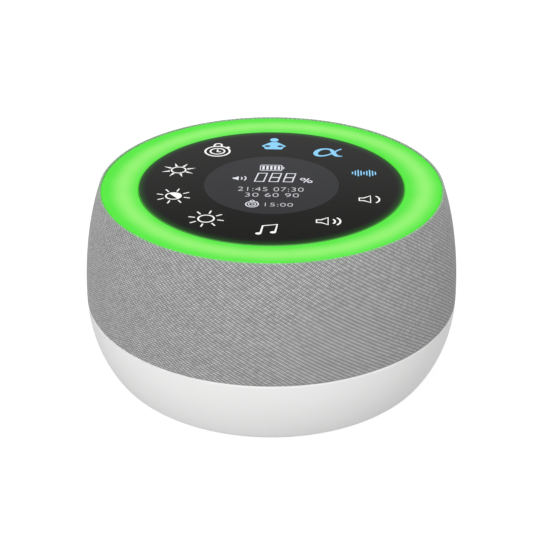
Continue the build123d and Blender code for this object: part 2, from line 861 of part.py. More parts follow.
cone_neck_low = coil_collar_low + cone_skin + seat
cone_neck_radius = coil_radius + cone_neck_gap
cone_rim_inner = cone_radius - cone_rim_width
cone_rim_low = cone_rim_top - cone_skin
with BuildPart() as speaker_cone:
    with BuildSketch(Plane.XZ):
        with BuildLine():
            neck = Line(
                (cone_neck_radius, cone_neck_low),
                (cone_neck_radius + cone_neck_width, cone_neck_low),
            )
            under = RadiusArc(neck @ 1, (cone_rim_inner, cone_rim_low), cone_flare)
            rim = Polyline(
                under @ 1,
                (cone_radius, cone_rim_low),
                (cone_radius, cone_rim_top),
                (cone_rim_inner, cone_rim_top),
            )
            over = RadiusArc(
                rim @ 1,
                (cone_neck_radius + 2 * cone_skin, cone_neck_low + cone_skin),
                2 * cone_skin - cone_flare,
            )
            Polyline(over @ 1, (cone_neck_radius, cone_neck_low + cone_skin), neck @ 0)
        make_face()
    revolve(axis=Axis.Z)
speaker_cone.part.label = "speaker_cone"
export_step(speaker_cone.part, "parts/speaker_cone.step")

# spherical cap over the neck
cap_low = cone_neck_low + cone_skin + cap_lift
cap_sphere = (cap_radius**2 + cap_rise**2) / (2 * cap_rise)
cap_inner = sqrt((cap_sphere - cone_skin) ** 2 - (cap_sphere - cap_rise) ** 2)
with BuildPart() as dust_cap:
    with BuildSketch(Plane.XZ):
        with BuildLine():
            outside = RadiusArc((cap_radius, cap_low), (0, cap_low + cap_rise), -cap_sphere)
            inside = RadiusArc(
                (cap_inner, cap_low), (0, cap_low + cap_rise - cone_skin), cone_skin - cap_sphere
            )
            Line(outside @ 0, inside @ 0)
            Line(outside @ 1, inside @ 1)
        make_face()
    revolve(axis=Axis.Z)
dust_cap.part.label = "dust_cap"
export_step(dust_cap.part, "parts/dust_cap.step")

# rubber edge: fixed by its outer lip on the flange, its inner lip rides on the cone's rim
surround_top = surround_low + surround_height
surround_mid = (cone_radius + cup_top_radius - cup_slant) / 2
with BuildPart() as speaker_surround:
    with BuildSketch(Plane.XZ):
        with BuildLine():
            Polyline(
                (surround_mid + surround_bend, surround_top),
                (surround_outer, surround_top),
                (surround_outer, surround_top - surround_skin),
                (surround_mid + surround_bend + surround_skew, surround_top - surround_skin),
                (surround_mid + surround_foot, surround_low),
                (cone_rim_inner, surround_low),
                (cone_rim_inner, surround_low + surround_skin),
                (surround_mid - surround_foot, surround_low + surround_skin),
                close=True,
            )
        make_face()
    revolve(axis=Axis.Z)
speaker_surround.part.label = "speaker_surround"
export_step(speaker_surround.part, "parts/speaker_surround.step")

# corrugated spider: its rim sits in the cup, its neck lifts the coil's collar
spider_neck = coil_outer + fit
spider_rim = cup_low_radius + cup_wall * cup_lean - cup_slant - 2 * fit
spider_pitch = (spider_rim - spider_hem - spider_neck - spider_flat) / spider_steps
spider_over = []
spider_under = []
for step in range(spider_steps + 1):
    r = spider_neck + spider_flat + step * spider_pitch
    z = spider_top - (spider_height - spider_skin) * step / spider_steps
    spider_over.append((r, z))
    spider_under.append((r, z - spider_skin))
    if step < spider_steps:
        spider_over.append((r + spider_pitch / 2, z + spider_wave))
        spider_under.append((r + spider_pitch / 2, z - spider_skin + spider_wave))
spider_over[1] = (spider_over[1][0], spider_top)
spider_under[1] = (spider_under[1][0], spider_top - spider_skin)
with BuildPart() as speaker_spider:
    revolve(
        turned(
            [(spider_neck, spider_top)]
            + spider_over
            + [(spider_rim, spider_low + spider_skin), (spider_rim, spider_low)]
            + spider_under[::-1]
            + [(spider_neck, spider_top - spider_skin)]
        ),
        axis=Axis.Z,
    )
speaker_spider.part.label = "speaker_spider"
export_step(speaker_spider.part, "parts/speaker_spider.step")

with BuildPart() as speaker_screw:
    revolve(screw_section(screw_m26, flange_top), axis=Axis.Z)
with BuildPart() as speaker_screws:
    with Locations(*speaker_screw_points):
        add(speaker_screw.part)
speaker_screws.part.label = "speaker_screws"
export_step(speaker_screws.part, "parts/speaker_screws.step")


# ================================================================ grille and sleeve
slot_low = grille_low + slot_margin
slot_high = ledge_top - ledge_thick - slot_bar
slot_height = (slot_high - slot_low - slot_bar * (slot_rows - 1)) / slot_rows
with BuildPart() as grille_shell:
    revolve(
        wall_band(grille_outer_inset, grille_inner_inset, grille_low, grille_top), axis=Axis.Z
    )
    # ledge that carries the top deck, with a slope under it
    revolve(
        turned(
            [
                (ledge_inner, ledge_top - ledge_thick),
                (wall_radius(ledge_top, grille_inner_inset) + grille_wall / 2,
                 ledge_top - 2 * ledge_thick),
                (wall_radius(ledge_top, grille_inner_inset) + grille_wall / 2, ledge_top),
                (ledge_inner, ledge_top),
            ]
        ),
        axis=Axis.Z,
    )
    # rows of slots, every second row set half a pitch round
    for row in range(slot_rows):
        middle = slot_low + slot_height / 2 + row * (slot_height + slot_bar)
        half_pitch = 180 / slot_count * (row % 2)
        with Locations((0, 0, middle)):
            with PolarLocations(body_radius - grille_wall, slot_count, start_angle=half_pitch):
                Box(
                    6 * grille_wall, slot_width, slot_height, mode=Mode.SUBTRACT
                )
grille_shell.part.label = "grille_shell"
export_step(grille_shell.part, "parts/grille_shell.step")

hem_inner = wall_radius(hem_top, grille_inner_inset) + fit
with BuildPart() as fabric_sleeve:
    with BuildSketch(Plane.XZ):
        add(wall_band(0, sleeve_inner_inset, sleeve_low, rim_z))
        top_hem_outer = wall_radius(hem_top, sleeve_thick / 2)
        with BuildLine():
            Polyline(
                (hem_inner, hem_top - hem_thick),
                (top_hem_outer, hem_top - hem_thick),
                (top_hem_outer, hem_top),
                (hem_inner, hem_top),
                close=True,
            )
        make_face()
        low_hem_outer = wall_radius(sleeve_low, sleeve_thick / 2)
        with BuildLine():
            Polyline(
                (low_hem_outer - hem_width, sleeve_low),
                (low_hem_outer, sleeve_low),
                (low_hem_outer, sleeve_low + hem_thick),
                (low_hem_outer - hem_width, sleeve_low + hem_thick),
                close=True,
            )
        make_face()
    revolve(axis=Axis.Z)
    fillet(fabric_sleeve.edges().group_by(Axis.Z)[-1], rim_round)
    fillet(fabric_sleeve.edges().group_by(Axis.Z)[0].sort_by(SortBy.RADIUS)[-1], rim_round)
fabric_sleeve.part.label = "fabric_sleeve"
export_step(fabric_sleeve.part, "parts/fabric_sleeve.step")


# ================================================================ top deck
with BuildPart() as top_deck:
    # floor, outer wall and the tube that carries the lens, turned as one
    revolve(
        turned(
            [
                (0, deck_low),
                (deck_radius, deck_low),
                (deck_radius, deck_rim_top),
                (deck_radius - deck_wall, deck_rim_top),
                (deck_radius - deck_wall, deck_floor_top),
                (deck_tube_outer, deck_floor_top),
                (deck_tube_outer, deck_rim_top - shoulder_height - shoulder_width),
                (deck_tube_outer + shoulder_width, deck_rim_top - shoulder_height),
                (deck_tube_outer + shoulder_width, deck_rim_top),
                (deck_tube_outer, deck_rim_top),
                (deck_tube_outer, wells_top),
                (deck_tube_inner, wells_top),
                (deck_tube_inner, deck_floor_top),
                (0, deck_floor_top),
            ]
        ),
        axis=Axis.Z,
    )
    # long posts down to the baffle, and short ones under the touch board
    with BuildSketch(Plane.XY.offset(baffle_top + seat)):
        with Locations(*tower_points):
            Circle(deck_post)
    extrude(amount=deck_low - baffle_top - seat)
    with BuildSketch(Plane.XY.offset(deck_floor_top)):
        with Locations(*standoff_points):
            Circle(standoff_radius)
    extrude(amount=standoff_height)
    with BuildSketch(Plane.XY.offset(baffle_top + seat)):
        with Locations(*tower_points):
            Circle(m3_shank + thread_fit)
    extrude(amount=deck_post_hole, mode=Mode.SUBTRACT)
    with BuildSketch(Plane.XY.offset(standoff_top)):
        with Locations(*standoff_points):
            Circle(m2_shank + thread_fit)
    extrude(amount=-(m2_length - touch_board_thick - seat + fit), mode=Mode.SUBTRACT)
    # the flat cable's slot, and the deflector's screw hole
    with BuildSketch(Plane.XY.offset(deck_low)):
        with Locations((0, cable_y)):
            SlotOverall(*cable_slot)
        Circle(m26_shank + fit)
    extrude(amount=deck_floor, mode=Mode.SUBTRACT)
top_deck.part.label = "top_deck"
export_step(top_deck.part, "parts/top_deck.step")

deflector_top = deck_low - seat
deflector_low = deflector_top - deflector_height
with BuildPart() as sound_deflector:
    with BuildSketch(Plane.XZ):
        with BuildLine():
            flare = RadiusArc(
                (deflector_tip, deflector_low),
                (deflector_radius, deflector_top - deflector_skin),
                deflector_radius * deflector_flare,
            )
            crown = Polyline(
                flare @ 1,
                (deflector_radius, deflector_top),
                (deflector_radius - 2 * deflector_skin, deflector_top),
            )
            under = RadiusArc(
                crown @ 1,
                (deflector_boss, deflector_low + deflector_root * deflector_skin),
                -deflector_radius * deflector_flare,
            )
            Polyline(
                under @ 1,
                (deflector_boss, deflector_top),
                (0, deflector_top),
                (0, deflector_low),
                flare @ 0,
            )
        make_face()
    revolve(axis=Axis.Z)
    with BuildSketch(Plane.XY.offset(deflector_top)):
        Circle(m26_shank + thread_fit)
    extrude(amount=-deflector_height * deflector_hole, mode=Mode.SUBTRACT)
sound_deflector.part.label = "sound_deflector"
export_step(sound_deflector.part, "parts/sound_deflector.step")

with BuildPart() as deflector_screw:
    revolve(screw_section(screw_m26, deck_floor_top), axis=Axis.Z)
deflector_screw.part.label = "deflector_screw"
export_step(deflector_screw.part, "parts/deflector_screw.step")


# ================================================================ light ring
ring_board_low = deck_floor_top + seat
with BuildPart() as ring_board:
    revolve(
        ring_section(
            ring_board_inner,
            ring_board_outer,
            ring_board_low,
            ring_board_low + ring_board_thick,
        ),
        axis=Axis.Z,
    )
ring_board.part.label = "ring_board"
export_step(ring_board.part, "parts/ring_board.step")

with BuildPart() as ring_leds:
    with BuildSketch(Plane.XY.offset(ring_board_low + ring_board_thick + seat)):
        with PolarLocations(ring_led_circle, ring_led_count):
            Rectangle(led_depth, led_width)
    extrude(amount=led_height)
ring_leds.part.label = "ring_leds"
export_step(ring_leds.part, "parts/ring_leds.step")

with BuildPart() as light_ring:
    with BuildSketch(Plane.XZ) as ring_profile:
        with BuildLine():
            side = wall_arc(grille_outer_inset, ring_low, panel_z + ring_rise)
            crown = ThreePointArc(
                side @ 1,
                (
                    (ring_inner + ring_outer_top) / 2,
                    panel_z + ring_rise / 2 + ring_crown,
                ),
                (ring_inner, panel_z),
            )
            Polyline(crown @ 1, (ring_inner, ring_low), side @ 0)
        make_face()
        fillet(ring_profile.vertices().group_by(Axis.Y)[-1], ring_round)
        inner_corner = ring_profile.vertices().group_by(Axis.X)[0].sort_by(Axis.Y)[-1]
        fillet(inner_corner, ring_round)
    revolve(axis=Axis.Z)
light_ring.part.label = "light_ring"
export_step(light_ring.part, "parts/light_ring.step")


# ================================================================ touch panel
with BuildPart() as touch_board:
    with BuildSketch(Plane.XY.offset(touch_board_low)):
        Circle(touch_board_radius)
        with Locations(*standoff_points):
            Circle(m2_shank + fit, mode=Mode.SUBTRACT)
    extrude(amount=touch_board_thick)
touch_board.part.label = "touch_board"
export_step(touch_board.part, "parts/touch_board.step")

with BuildPart() as icon_leds:
    with BuildSketch(Plane.XY.offset(touch_board_top + seat)):
        with PolarLocations(icon_circle, icon_count, start_angle=icon_start):
            Rectangle(led_depth, led_width)
    extrude(amount=led_height)
icon_leds.part.label = "icon_leds"
export_step(icon_leds.part, "parts/icon_leds.step")

with BuildPart() as light_wells:
    with BuildSketch(Plane.XY.offset(wells_low)):
        Circle(wells_radius)
        Circle(display_radius + air, mode=Mode.SUBTRACT)
        with Locations(*standoff_points):
            Circle(m2_head + air, mode=Mode.SUBTRACT)
    extrude(amount=wells_height)
    # ten cups, wider at the lens than at the board
    with BuildSketch(Plane.XY.offset(wells_top)):
        with PolarLocations(icon_circle, icon_count, start_angle=icon_start):
            Circle(well_radius)
    extrude(amount=-wells_height, taper=well_taper, mode=Mode.SUBTRACT)
light_wells.part.label = "light_wells"
export_step(light_wells.part, "parts/light_wells.step")

with BuildPart() as deck_screw:
    revolve(screw_section(screw_m2, touch_board_top, drive_up=True), axis=Axis.Z)
with BuildPart() as deck_screws:
    with Locations(*standoff_points):
        add(deck_screw.part)
deck_screws.part.label = "deck_screws"
export_step(deck_screws.part, "parts/deck_screws.step")

with BuildPart() as display_module:
    with BuildSketch(Plane.XY.offset(touch_board_top + seat)):
        Circle(display_radius)
    extrude(amount=wells_height)
    with BuildSketch(Plane.XY.offset(wells_top)):
        Circle(display_radius)
        Circle(display_radius - display_frame, mode=Mode.SUBTRACT)
    extrude(amount=-window_ledge, mode=Mode.SUBTRACT)
display_module.part.label = "display_module"
export_step(display_module.part, "parts/display_module.step")

window_seat = panel_z - window_thick - seat / 2
with BuildPart() as touch_lens:
    revolve(
        turned(
            [
                (window_radius - window_ledge, lens_low),
                (lens_radius, lens_low),
                (lens_radius, panel_z),
                (window_radius, panel_z),
                (window_radius, window_seat),
                (window_radius - window_ledge, window_seat),
            ]
        ),
        axis=Axis.Z,
    )
    fillet(touch_lens.edges().group_by(Axis.Z)[-1].sort_by(SortBy.RADIUS)[-1], lens_round)
touch_lens.part.label = "touch_lens"
export_step(touch_lens.part, "parts/touch_lens.step")

with BuildPart() as display_window:
    with BuildSketch(Plane.XY.offset(panel_z - window_thick)):
        Circle(window_radius - seat / 2)
    extrude(amount=window_thick)
display_window.part.label = "display_window"
export_step(display_window.part, "parts/display_window.step")

with BuildPart() as flat_cable:
    with BuildSketch(Plane.XY.offset(cable_low)):
        with Locations((0, cable_y)):
            Rectangle(cable_width, cable_thick)
    extrude(amount=touch_board_low - seat - cable_low)
flat_cable.part.label = "flat_cable"
export_step(flat_cable.part, "parts/flat_cable.step")
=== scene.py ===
import json
import math

import bpy
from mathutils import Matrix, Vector


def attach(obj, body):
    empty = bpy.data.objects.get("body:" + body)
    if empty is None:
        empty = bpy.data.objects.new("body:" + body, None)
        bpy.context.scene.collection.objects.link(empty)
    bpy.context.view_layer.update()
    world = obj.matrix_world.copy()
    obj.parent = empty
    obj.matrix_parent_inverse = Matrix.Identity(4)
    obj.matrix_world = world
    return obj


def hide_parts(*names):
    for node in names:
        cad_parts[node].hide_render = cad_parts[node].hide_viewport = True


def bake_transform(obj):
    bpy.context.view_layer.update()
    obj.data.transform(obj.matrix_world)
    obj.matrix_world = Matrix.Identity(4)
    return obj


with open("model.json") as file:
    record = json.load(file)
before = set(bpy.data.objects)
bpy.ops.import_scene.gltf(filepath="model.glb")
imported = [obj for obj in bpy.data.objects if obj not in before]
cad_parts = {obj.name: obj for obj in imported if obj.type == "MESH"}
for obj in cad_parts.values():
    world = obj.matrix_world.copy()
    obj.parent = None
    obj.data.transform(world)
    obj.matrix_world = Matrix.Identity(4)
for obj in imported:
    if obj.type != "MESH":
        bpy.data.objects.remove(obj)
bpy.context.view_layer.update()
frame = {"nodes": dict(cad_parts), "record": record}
nodes = frame["nodes"]
mm = 0.001
print("frame loaded with", len(nodes), "pieces")


def feed(tree, socket, value):
    # links a socket, sets a plain value and leaves the default for None
    if isinstance(value, bpy.types.NodeSocket):
        tree.links.new(value, socket)
    elif value is not None:
        socket.default_value = value


def calc(tree, how, *values):
    node = tree.nodes.new("ShaderNodeMath")
    node.operation = how
    for socket, value in zip(node.inputs, values):
        feed(tree, socket, value)
    return node.outputs[0]


# camera, lights and table

camera = {  # millimetres and degrees
    "aim": (0.0, 0.0, 29.8),
    "distance": 458.0,
    "elevation": 28.7,
    "turn": 2.06,  # degrees to the right of the front
    "lens": 93.4,
    "sensor": 36.0,
    "shift": (-1.5 / 540, 4.3 / 540),  # shares of the picture's width
}


def placeCamera():
    tilt = math.radians(camera["elevation"])
    turn = math.radians(camera["turn"])
    aim = Vector(camera["aim"]) * mm
    away = Vector((math.cos(tilt) * math.sin(turn), -math.cos(tilt) * math.cos(turn), math.sin(tilt)))
    bpy.ops.object.camera_add(location=aim + away * camera["distance"] * mm)
    eye = bpy.context.object
    eye.name = "studioCamera"
    eye.rotation_euler = (-away).to_track_quat("-Z", "Y").to_euler()
    eye.data.lens = camera["lens"]
    eye.data.sensor_width = camera["sensor"]
    eye.data.shift_x, eye.data.shift_y = camera["shift"]
    eye.data.clip_start = 0.01
    bpy.context.scene.camera = eye


softBoxes = [  # name, place in metres, side in metres, watts
    ("keySoftBox", (-0.36, -1.05, 0.85), 0.55, 11.0),
    ("rightSoftBox", (0.95, -0.3, 0.85), 0.5, 2.6),
    ("rearSoftBox", (0.0, 0.8, 1.35), 0.6, 8.0),
]
lampAim = (0, 0, 0.03)
skyLight = [  # sine of the angle above the horizon, and level
    (0.0, 0.50), (0.25, 0.38), (0.39, 0.29), (0.41, 0.21), (0.43, 0.165), (0.443, 0.09), (0.462, 0.055),
    (0.58, 0.14), (0.72, 0.38), (0.87, 1.0), (1.0, 1.5),
]
skyBoost = 2.0  # a ramp holds no level above 1, so levels are divided by this and the light is multiplied
table = {
    "radius": 6.0,  # metres
    "seen": 0.92,  # its own light as the camera sees it
    "fromBelow": 0.55,  # its own light on the machine
    "white": 0.12,
}


def placeLights():
    for name, place, side, watts in softBoxes:
        bpy.ops.object.light_add(type="AREA", location=place)
        lamp = bpy.context.object
        lamp.name = name
        lamp.rotation_euler = (Vector(lampAim) - Vector(place)).to_track_quat("-Z", "Y").to_euler()
        lamp.data.shape = "DISK"
        lamp.data.size = side
        lamp.data.energy = watts
    world = bpy.data.worlds.new("paleStudio")
    bpy.context.scene.world = world
    world.use_nodes = True
    tree = world.node_tree
    tree.nodes.clear()
    coord = tree.nodes.new("ShaderNodeTexCoord")
    split = tree.nodes.new("ShaderNodeSeparateXYZ")
    ramp = tree.nodes.new("ShaderNodeValToRGB")
    sky = tree.nodes.new("ShaderNodeBackground")
    seen = tree.nodes.new("ShaderNodeBackground")
    path = tree.nodes.new("ShaderNodeLightPath")
    mix = tree.nodes.new("ShaderNodeMixShader")
    out = tree.nodes.new("ShaderNodeOutputWorld")
    tree.links.new(coord.outputs["Generated"], split.inputs[0])
    tree.links.new(split.outputs["Z"], ramp.inputs[0])
    stops = ramp.color_ramp.elements
    while len(stops) < len(skyLight):
        stops.new(0.5)
    for stop, (height, level) in zip(stops, skyLight):
        stop.position = height
        stop.color = (level / skyBoost,) * 3 + (1,)
    sky.inputs["Strength"].default_value = skyBoost
    tree.links.new(ramp.outputs["Color"], sky.inputs["Color"])
    seen.inputs["Color"].default_value = (1, 1, 1, 1)
    tree.links.new(path.outputs["Is Camera Ray"], mix.inputs[0])
    tree.links.new(sky.outputs[0], mix.inputs[1])
    tree.links.new(seen.outputs[0], mix.inputs[2])
    tree.links.new(mix.outputs[0], out.inputs[0])


def placeTable():
    bpy.ops.mesh.primitive_circle_add(vertices=96, radius=table["radius"], fill_type="NGON")
    top = bpy.context.object
    top.name = "paleTable"
    made = bpy.data.materials.new("paleTable")
    made.use_nodes = True
    tree = made.node_tree
    tree.nodes.clear()
    path = tree.nodes.new("ShaderNodeLightPath")
    level = tree.nodes.new("ShaderNodeMapRange")
    level.inputs["To Min"].default_value = table["fromBelow"]
    level.inputs["To Max"].default_value = table["seen"]
    glow = tree.nodes.new("ShaderNodeEmission")
    matte = tree.nodes.new("ShaderNodeBsdfDiffuse")
    matte.inputs["Color"].default_value = (table["white"],) * 3 + (1,)
    both = tree.nodes.new("ShaderNodeAddShader")
    side = tree.nodes.new("ShaderNodeNewGeometry")
    # the camera sees through it from below
    under = calc(tree, "MULTIPLY", side.outputs["Backfacing"], path.outputs["Is Camera Ray"])
    clear = tree.nodes.new("ShaderNodeBsdfTransparent")
    choice = tree.nodes.new("ShaderNodeMixShader")
    out = tree.nodes.new("ShaderNodeOutputMaterial")
    tree.links.new(path.outputs["Is Camera Ray"], level.inputs["Value"])
    tree.links.new(level.outputs[0], glow.inputs["Strength"])
    tree.links.new(glow.outputs[0], both.inputs[0])
    tree.links.new(matte.outputs[0], both.inputs[1])
    tree.links.new(under, choice.inputs[0])
    tree.links.new(both.outputs[0], choice.inputs[1])
    tree.links.new(clear.outputs[0], choice.inputs[2])
    tree.links.new(choice.outputs[0], out.inputs[0])
    top.data.materials.append(made)


def letGo():
    bpy.ops.object.select_all(action="DESELECT")


letGo()
placeCamera()
placeLights()
placeTable()
bpy.context.scene.view_settings.view_transform = "Standard"
print("studio ready")


# shader node groups, each with its own named inputs
surfaceOut = [("Color", "Color"), ("Roughness", "Float"), ("Height", "Float")]


def newGroup(name, wants, gives):
    group = bpy.data.node_groups.new(name, "ShaderNodeTree")
    for label, kind, value in [("Vector", "Vector", None)] + wants:
        socket = group.interface.new_socket(label, in_out="INPUT", socket_type="NodeSocket" + kind)
        if value is not None:
            socket.default_value = value
    for label, kind in gives:
        group.interface.new_socket(label, in_out="OUTPUT", socket_type="NodeSocket" + kind)
    return group, group.nodes.new("NodeGroupInput").outputs, group.nodes.new("NodeGroupOutput").inputs


def noiseOf(tree, vector, scale, detail=2.0, rough=0.5):
    node = tree.nodes.new("ShaderNodeTexNoise")
    feed(tree, node.inputs["Vector"], vector)
    feed(tree, node.inputs["Scale"], scale)
    node.inputs["Detail"].default_value = detail
    node.inputs["Roughness"].default_value = rough
    return node.outputs["Fac"]


def stretched(tree, vector, scale):
    node = tree.nodes.new("ShaderNodeVectorMath")
    node.operation = "MULTIPLY"
    feed(tree, node.inputs[0], vector)
    node.inputs[1].default_value = scale
    return node.outputs[0]


def lit(tree, color, factor):
    # color times a factor
    node = tree.nodes.new("ShaderNodeVectorMath")
    node.operation = "SCALE"
    feed(tree, node.inputs[0], color)
    feed(tree, node.inputs["Scale"], factor)
    return node.outputs[0]


def blendOf(tree, share, first, second):
    node = tree.nodes.new("ShaderNodeMix")
    node.data_type = "RGBA"
    feed(tree, node.inputs[0], share)
    feed(tree, node.inputs[6], first)
    feed(tree, node.inputs[7], second)
    return node.outputs[2]


def spanOf(tree, value, low, high, smooth=False):
    # 0 at the low value, 1 at the high one
    node = tree.nodes.new("ShaderNodeMapRange")
    node.interpolation_type = "SMOOTHSTEP" if smooth else "LINEAR"
    feed(tree, node.inputs["Value"], value)
    feed(tree, node.inputs["From Min"], low)
    feed(tree, node.inputs["From Max"], high)
    return node.outputs[0]


def swing(tree, value, amount, middle=1.0):
    # runs half the amount either way from the middle, as the value runs from 0 to 1
    return calc(tree, "MULTIPLY_ADD", calc(tree, "SUBTRACT", value, 0.5), amount, middle)


def partsOf(tree, vector):
    split = tree.nodes.new("ShaderNodeSeparateXYZ")
    feed(tree, split.inputs[0], vector)
    return split.outputs


def pairOf(tree, first, second):
    join = tree.nodes.new("ShaderNodeCombineXYZ")
    feed(tree, join.inputs[0], first)
    feed(tree, join.inputs[1], second)
    return join.outputs[0]


def reachOf(tree, parts):
    # distance from the upright axis
    squares = calc(tree, "ADD", calc(tree, "POWER", parts[0], 2.0), calc(tree, "POWER", parts[1], 2.0))
    return calc(tree, "POWER", squares, 0.5)


def mouldedGroup():
    # fine spark-eroded mould texture with a slight uneven tone in patches about 20 mm wide
    group, wants, gives = newGroup(
        "mouldedGrain",
        [("Color", "Color", (0.8, 0.8, 0.8, 1)), ("Mottle", "Float", 0.03), ("Grain", "Float", 5000.0),
         ("Roughness", "Float", 0.4), ("Unevenness", "Float", 0.08)],
        surfaceOut,
    )
    broad = noiseOf(group, wants["Vector"], 45.0, 3.0)
    fine = noiseOf(group, wants["Vector"], wants["Grain"], 1.0)
    tone = swing(group, broad, wants["Mottle"])
    speck = swing(group, fine, calc(group, "MULTIPLY", wants["Mottle"], 0.6), tone)
    group.links.new(lit(group, wants["Color"], speck), gives["Color"])
    group.links.new(swing(group, broad, wants["Unevenness"], wants["Roughness"]), gives["Roughness"])
    group.links.new(fine, gives["Height"])
    return group


def spunGroup():
    # fine turning or drawing lines in metal, with smears that change its roughness
    group, wants, gives = newGroup(
        "spunLines",
        [("Color", "Color", (0.6, 0.6, 0.6, 1)), ("Lines", "Float", 9000.0), ("Roughness", "Float", 0.3),
         ("Depth", "Float", 0.15)],
        surfaceOut,
    )
    parts = partsOf(group, wants["Vector"])
    where = pairOf(group, reachOf(group, parts), calc(group, "MULTIPLY", parts[2], 0.3))
    line = noiseOf(group, where, wants["Lines"], 2.0)
    smear = noiseOf(group, wants["Vector"], 220.0, 3.0)
    group.links.new(lit(group, wants["Color"], swing(group, line, wants["Depth"])), gives["Color"])
    group.links.new(swing(group, smear, 0.2, wants["Roughness"]), gives["Roughness"])
    group.links.new(line, gives["Height"])
    return group


def wovenGroup():
    # slanting cords crossed by finer yarns, each bead of yarn with a tone of its own; the colour darkens from
    # crest to valley, painted shade in the grooves
    group, wants, gives = newGroup(
        "wovenCords",
        [("Crest", "Color", (0.5, 0.5, 0.5, 1)), ("Valley Shade", "Color", (0.15, 0.15, 0.15, 1)),
         ("Cord Across", "Float", 0.56), ("Cord Up", "Float", 0.85),
         ("Yarn Across", "Float", 0.98), ("Yarn Up", "Float", -1.5),
         ("Yarn Share", "Float", 0.5), ("Melange", "Float", 0.25)],
        surfaceOut,
    )
    parts = partsOf(group, wants["Vector"])
    lines, rounds, floors = [], [], []
    for kind in ("Cord", "Yarn"):
        line = calc(group, "ADD", calc(group, "MULTIPLY", parts[0], wants[kind + " Across"]),
                    calc(group, "MULTIPLY", parts[1], wants[kind + " Up"]))
        lines.append(line)
        rounds.append(calc(group, "SINE", calc(group, "MULTIPLY", calc(group, "FRACT", line), math.pi)))
        floors.append(calc(group, "FLOOR", line))
    between = calc(group, "SUBTRACT", 1.0, calc(group, "POWER", rounds[1], 2.0))
    dip = calc(group, "MULTIPLY", wants["Yarn Share"], between)
    high = calc(group, "MULTIPLY", rounds[0], calc(group, "SUBTRACT", 1.0, dip))
    bead = group.nodes.new("ShaderNodeTexWhiteNoise")
    feed(group, bead.inputs["Vector"], pairOf(group, *floors))
    fibre = noiseOf(group, stretched(group, pairOf(group, *lines), (1.5, 8.0, 1.0)), 1.0, 3.0, 0.6)
    lay = noiseOf(group, stretched(group, wants["Vector"], (0.06, 0.25, 1.0)), 1.0, 2.0)
    speck = swing(group, bead.outputs["Value"], wants["Melange"], swing(group, fibre, 0.3))
    tone = calc(group, "MULTIPLY", speck, swing(group, lay, 0.16))
    # painted shade: the colour is darker where the cords and yarns dip
    group.links.new(lit(group, blendOf(group, high, wants["Valley Shade"], wants["Crest"]), tone), gives["Color"])
    group.links.new(calc(group, "MULTIPLY_ADD", fibre, 0.15, 0.8), gives["Roughness"])
    group.links.new(high, gives["Height"])
    return group


ringLamps = 24.0


def ringLightGroup():
    # light across the ring, brightest over the circle of lamps below it
    group, wants, gives = newGroup(
        "ringLight",
        [("Edge", "Color", (0.1, 0.9, 0.05, 1)), ("Middle", "Color", (0.3, 0.95, 0.2, 1)),
         ("Shift", "Vector", (0.0, 0.0, 0.0)), ("Peak", "Float", 0.047), ("Spread", "Float", 0.005),
         ("Lumps", "Float", 0.03)],
        [("Color", "Color"), ("Share", "Float")],
    )
    moved = group.nodes.new("ShaderNodeVectorMath")
    moved.operation = "SUBTRACT"
    feed(group, moved.inputs[0], wants["Vector"])
    feed(group, moved.inputs[1], wants["Shift"])
    parts = partsOf(group, moved.outputs[0])
    offPeak = calc(group, "ABSOLUTE", calc(group, "SUBTRACT", reachOf(group, parts), wants["Peak"]))
    share = spanOf(group, offPeak, wants["Spread"], 0.0, smooth=True)
    angle = calc(group, "ARCTAN2", parts[1], parts[0])
    overLamps = calc(group, "COSINE", calc(group, "MULTIPLY", angle, ringLamps))
    bright = calc(group, "ADD", share, calc(group, "MULTIPLY", overLamps, wants["Lumps"]))
    uneven = swing(group, noiseOf(group, wants["Vector"], 40.0), 0.06)
    color = blendOf(group, bright, wants["Edge"], wants["Middle"])
    group.links.new(lit(group, color, uneven), gives["Color"])
    group.links.new(share, gives["Share"])
    return group


rimBevel = (0.0004, 0.0002)  # where the glass's lit edge starts and is full, inwards from its rim


def rimLightGroup():
    # light that leaks from the ring into the edge of the glass, less deep at its sides
    group, wants, gives = newGroup(
        "rimLight",
        [("Color", "Color", (0.05, 0.4, 0.03, 1)), ("Rim", "Float", 0.042), ("Reach", "Float", 0.002),
         ("Sides", "Float", 0.3), ("Edge", "Color", (0.05, 0.5, 0.02, 1))],
        [("Color", "Color"), ("Rim", "Float")],
    )
    parts = partsOf(group, wants["Vector"])
    reach = reachOf(group, parts)
    aside = calc(group, "POWER", calc(group, "DIVIDE", parts[0], reach), 2.0)
    kept = calc(group, "SUBTRACT", 1.0, calc(group, "MULTIPLY", aside, wants["Sides"]))
    depth = calc(group, "MULTIPLY", wants["Reach"], kept)
    near = spanOf(group, reach, calc(group, "SUBTRACT", wants["Rim"], depth), wants["Rim"])
    edge = spanOf(group, reach, *[calc(group, "SUBTRACT", wants["Rim"], inwards) for inwards in rimBevel])
    glow = lit(group, wants["Color"], calc(group, "POWER", near, 2.2))
    group.links.new(blendOf(group, edge, glow, wants["Edge"]), gives["Color"])
    group.links.new(edge, gives["Rim"])
    return group


def rimSpillGroup():
    # painted light from the ring glowing in the cloth's rim, and painted shade that darkens the cloth's
    # colour there
    group, wants, gives = newGroup(
        "rimSpill",
        [("Color", "Color", (0.0, 0.25, 0.0, 1)), ("Top", "Float", 0.0628), ("Depth", "Float", 0.0012),
         ("Shade", "Float", 0.25)],
        [("Color", "Color"), ("Rim Shade", "Float")],
    )
    height = partsOf(group, wants["Vector"])[2]
    near = spanOf(group, height, calc(group, "SUBTRACT", wants["Top"], wants["Depth"]), wants["Top"])
    share = calc(group, "POWER", near, 3.0)
    shade = calc(group, "MULTIPLY", share, wants["Shade"])
    group.links.new(lit(group, wants["Color"], share), gives["Color"])
    # painted shade: the colour is darkened towards the top of the rim
    group.links.new(calc(group, "SUBTRACT", 1.0, shade), gives["Rim Shade"])
    return group


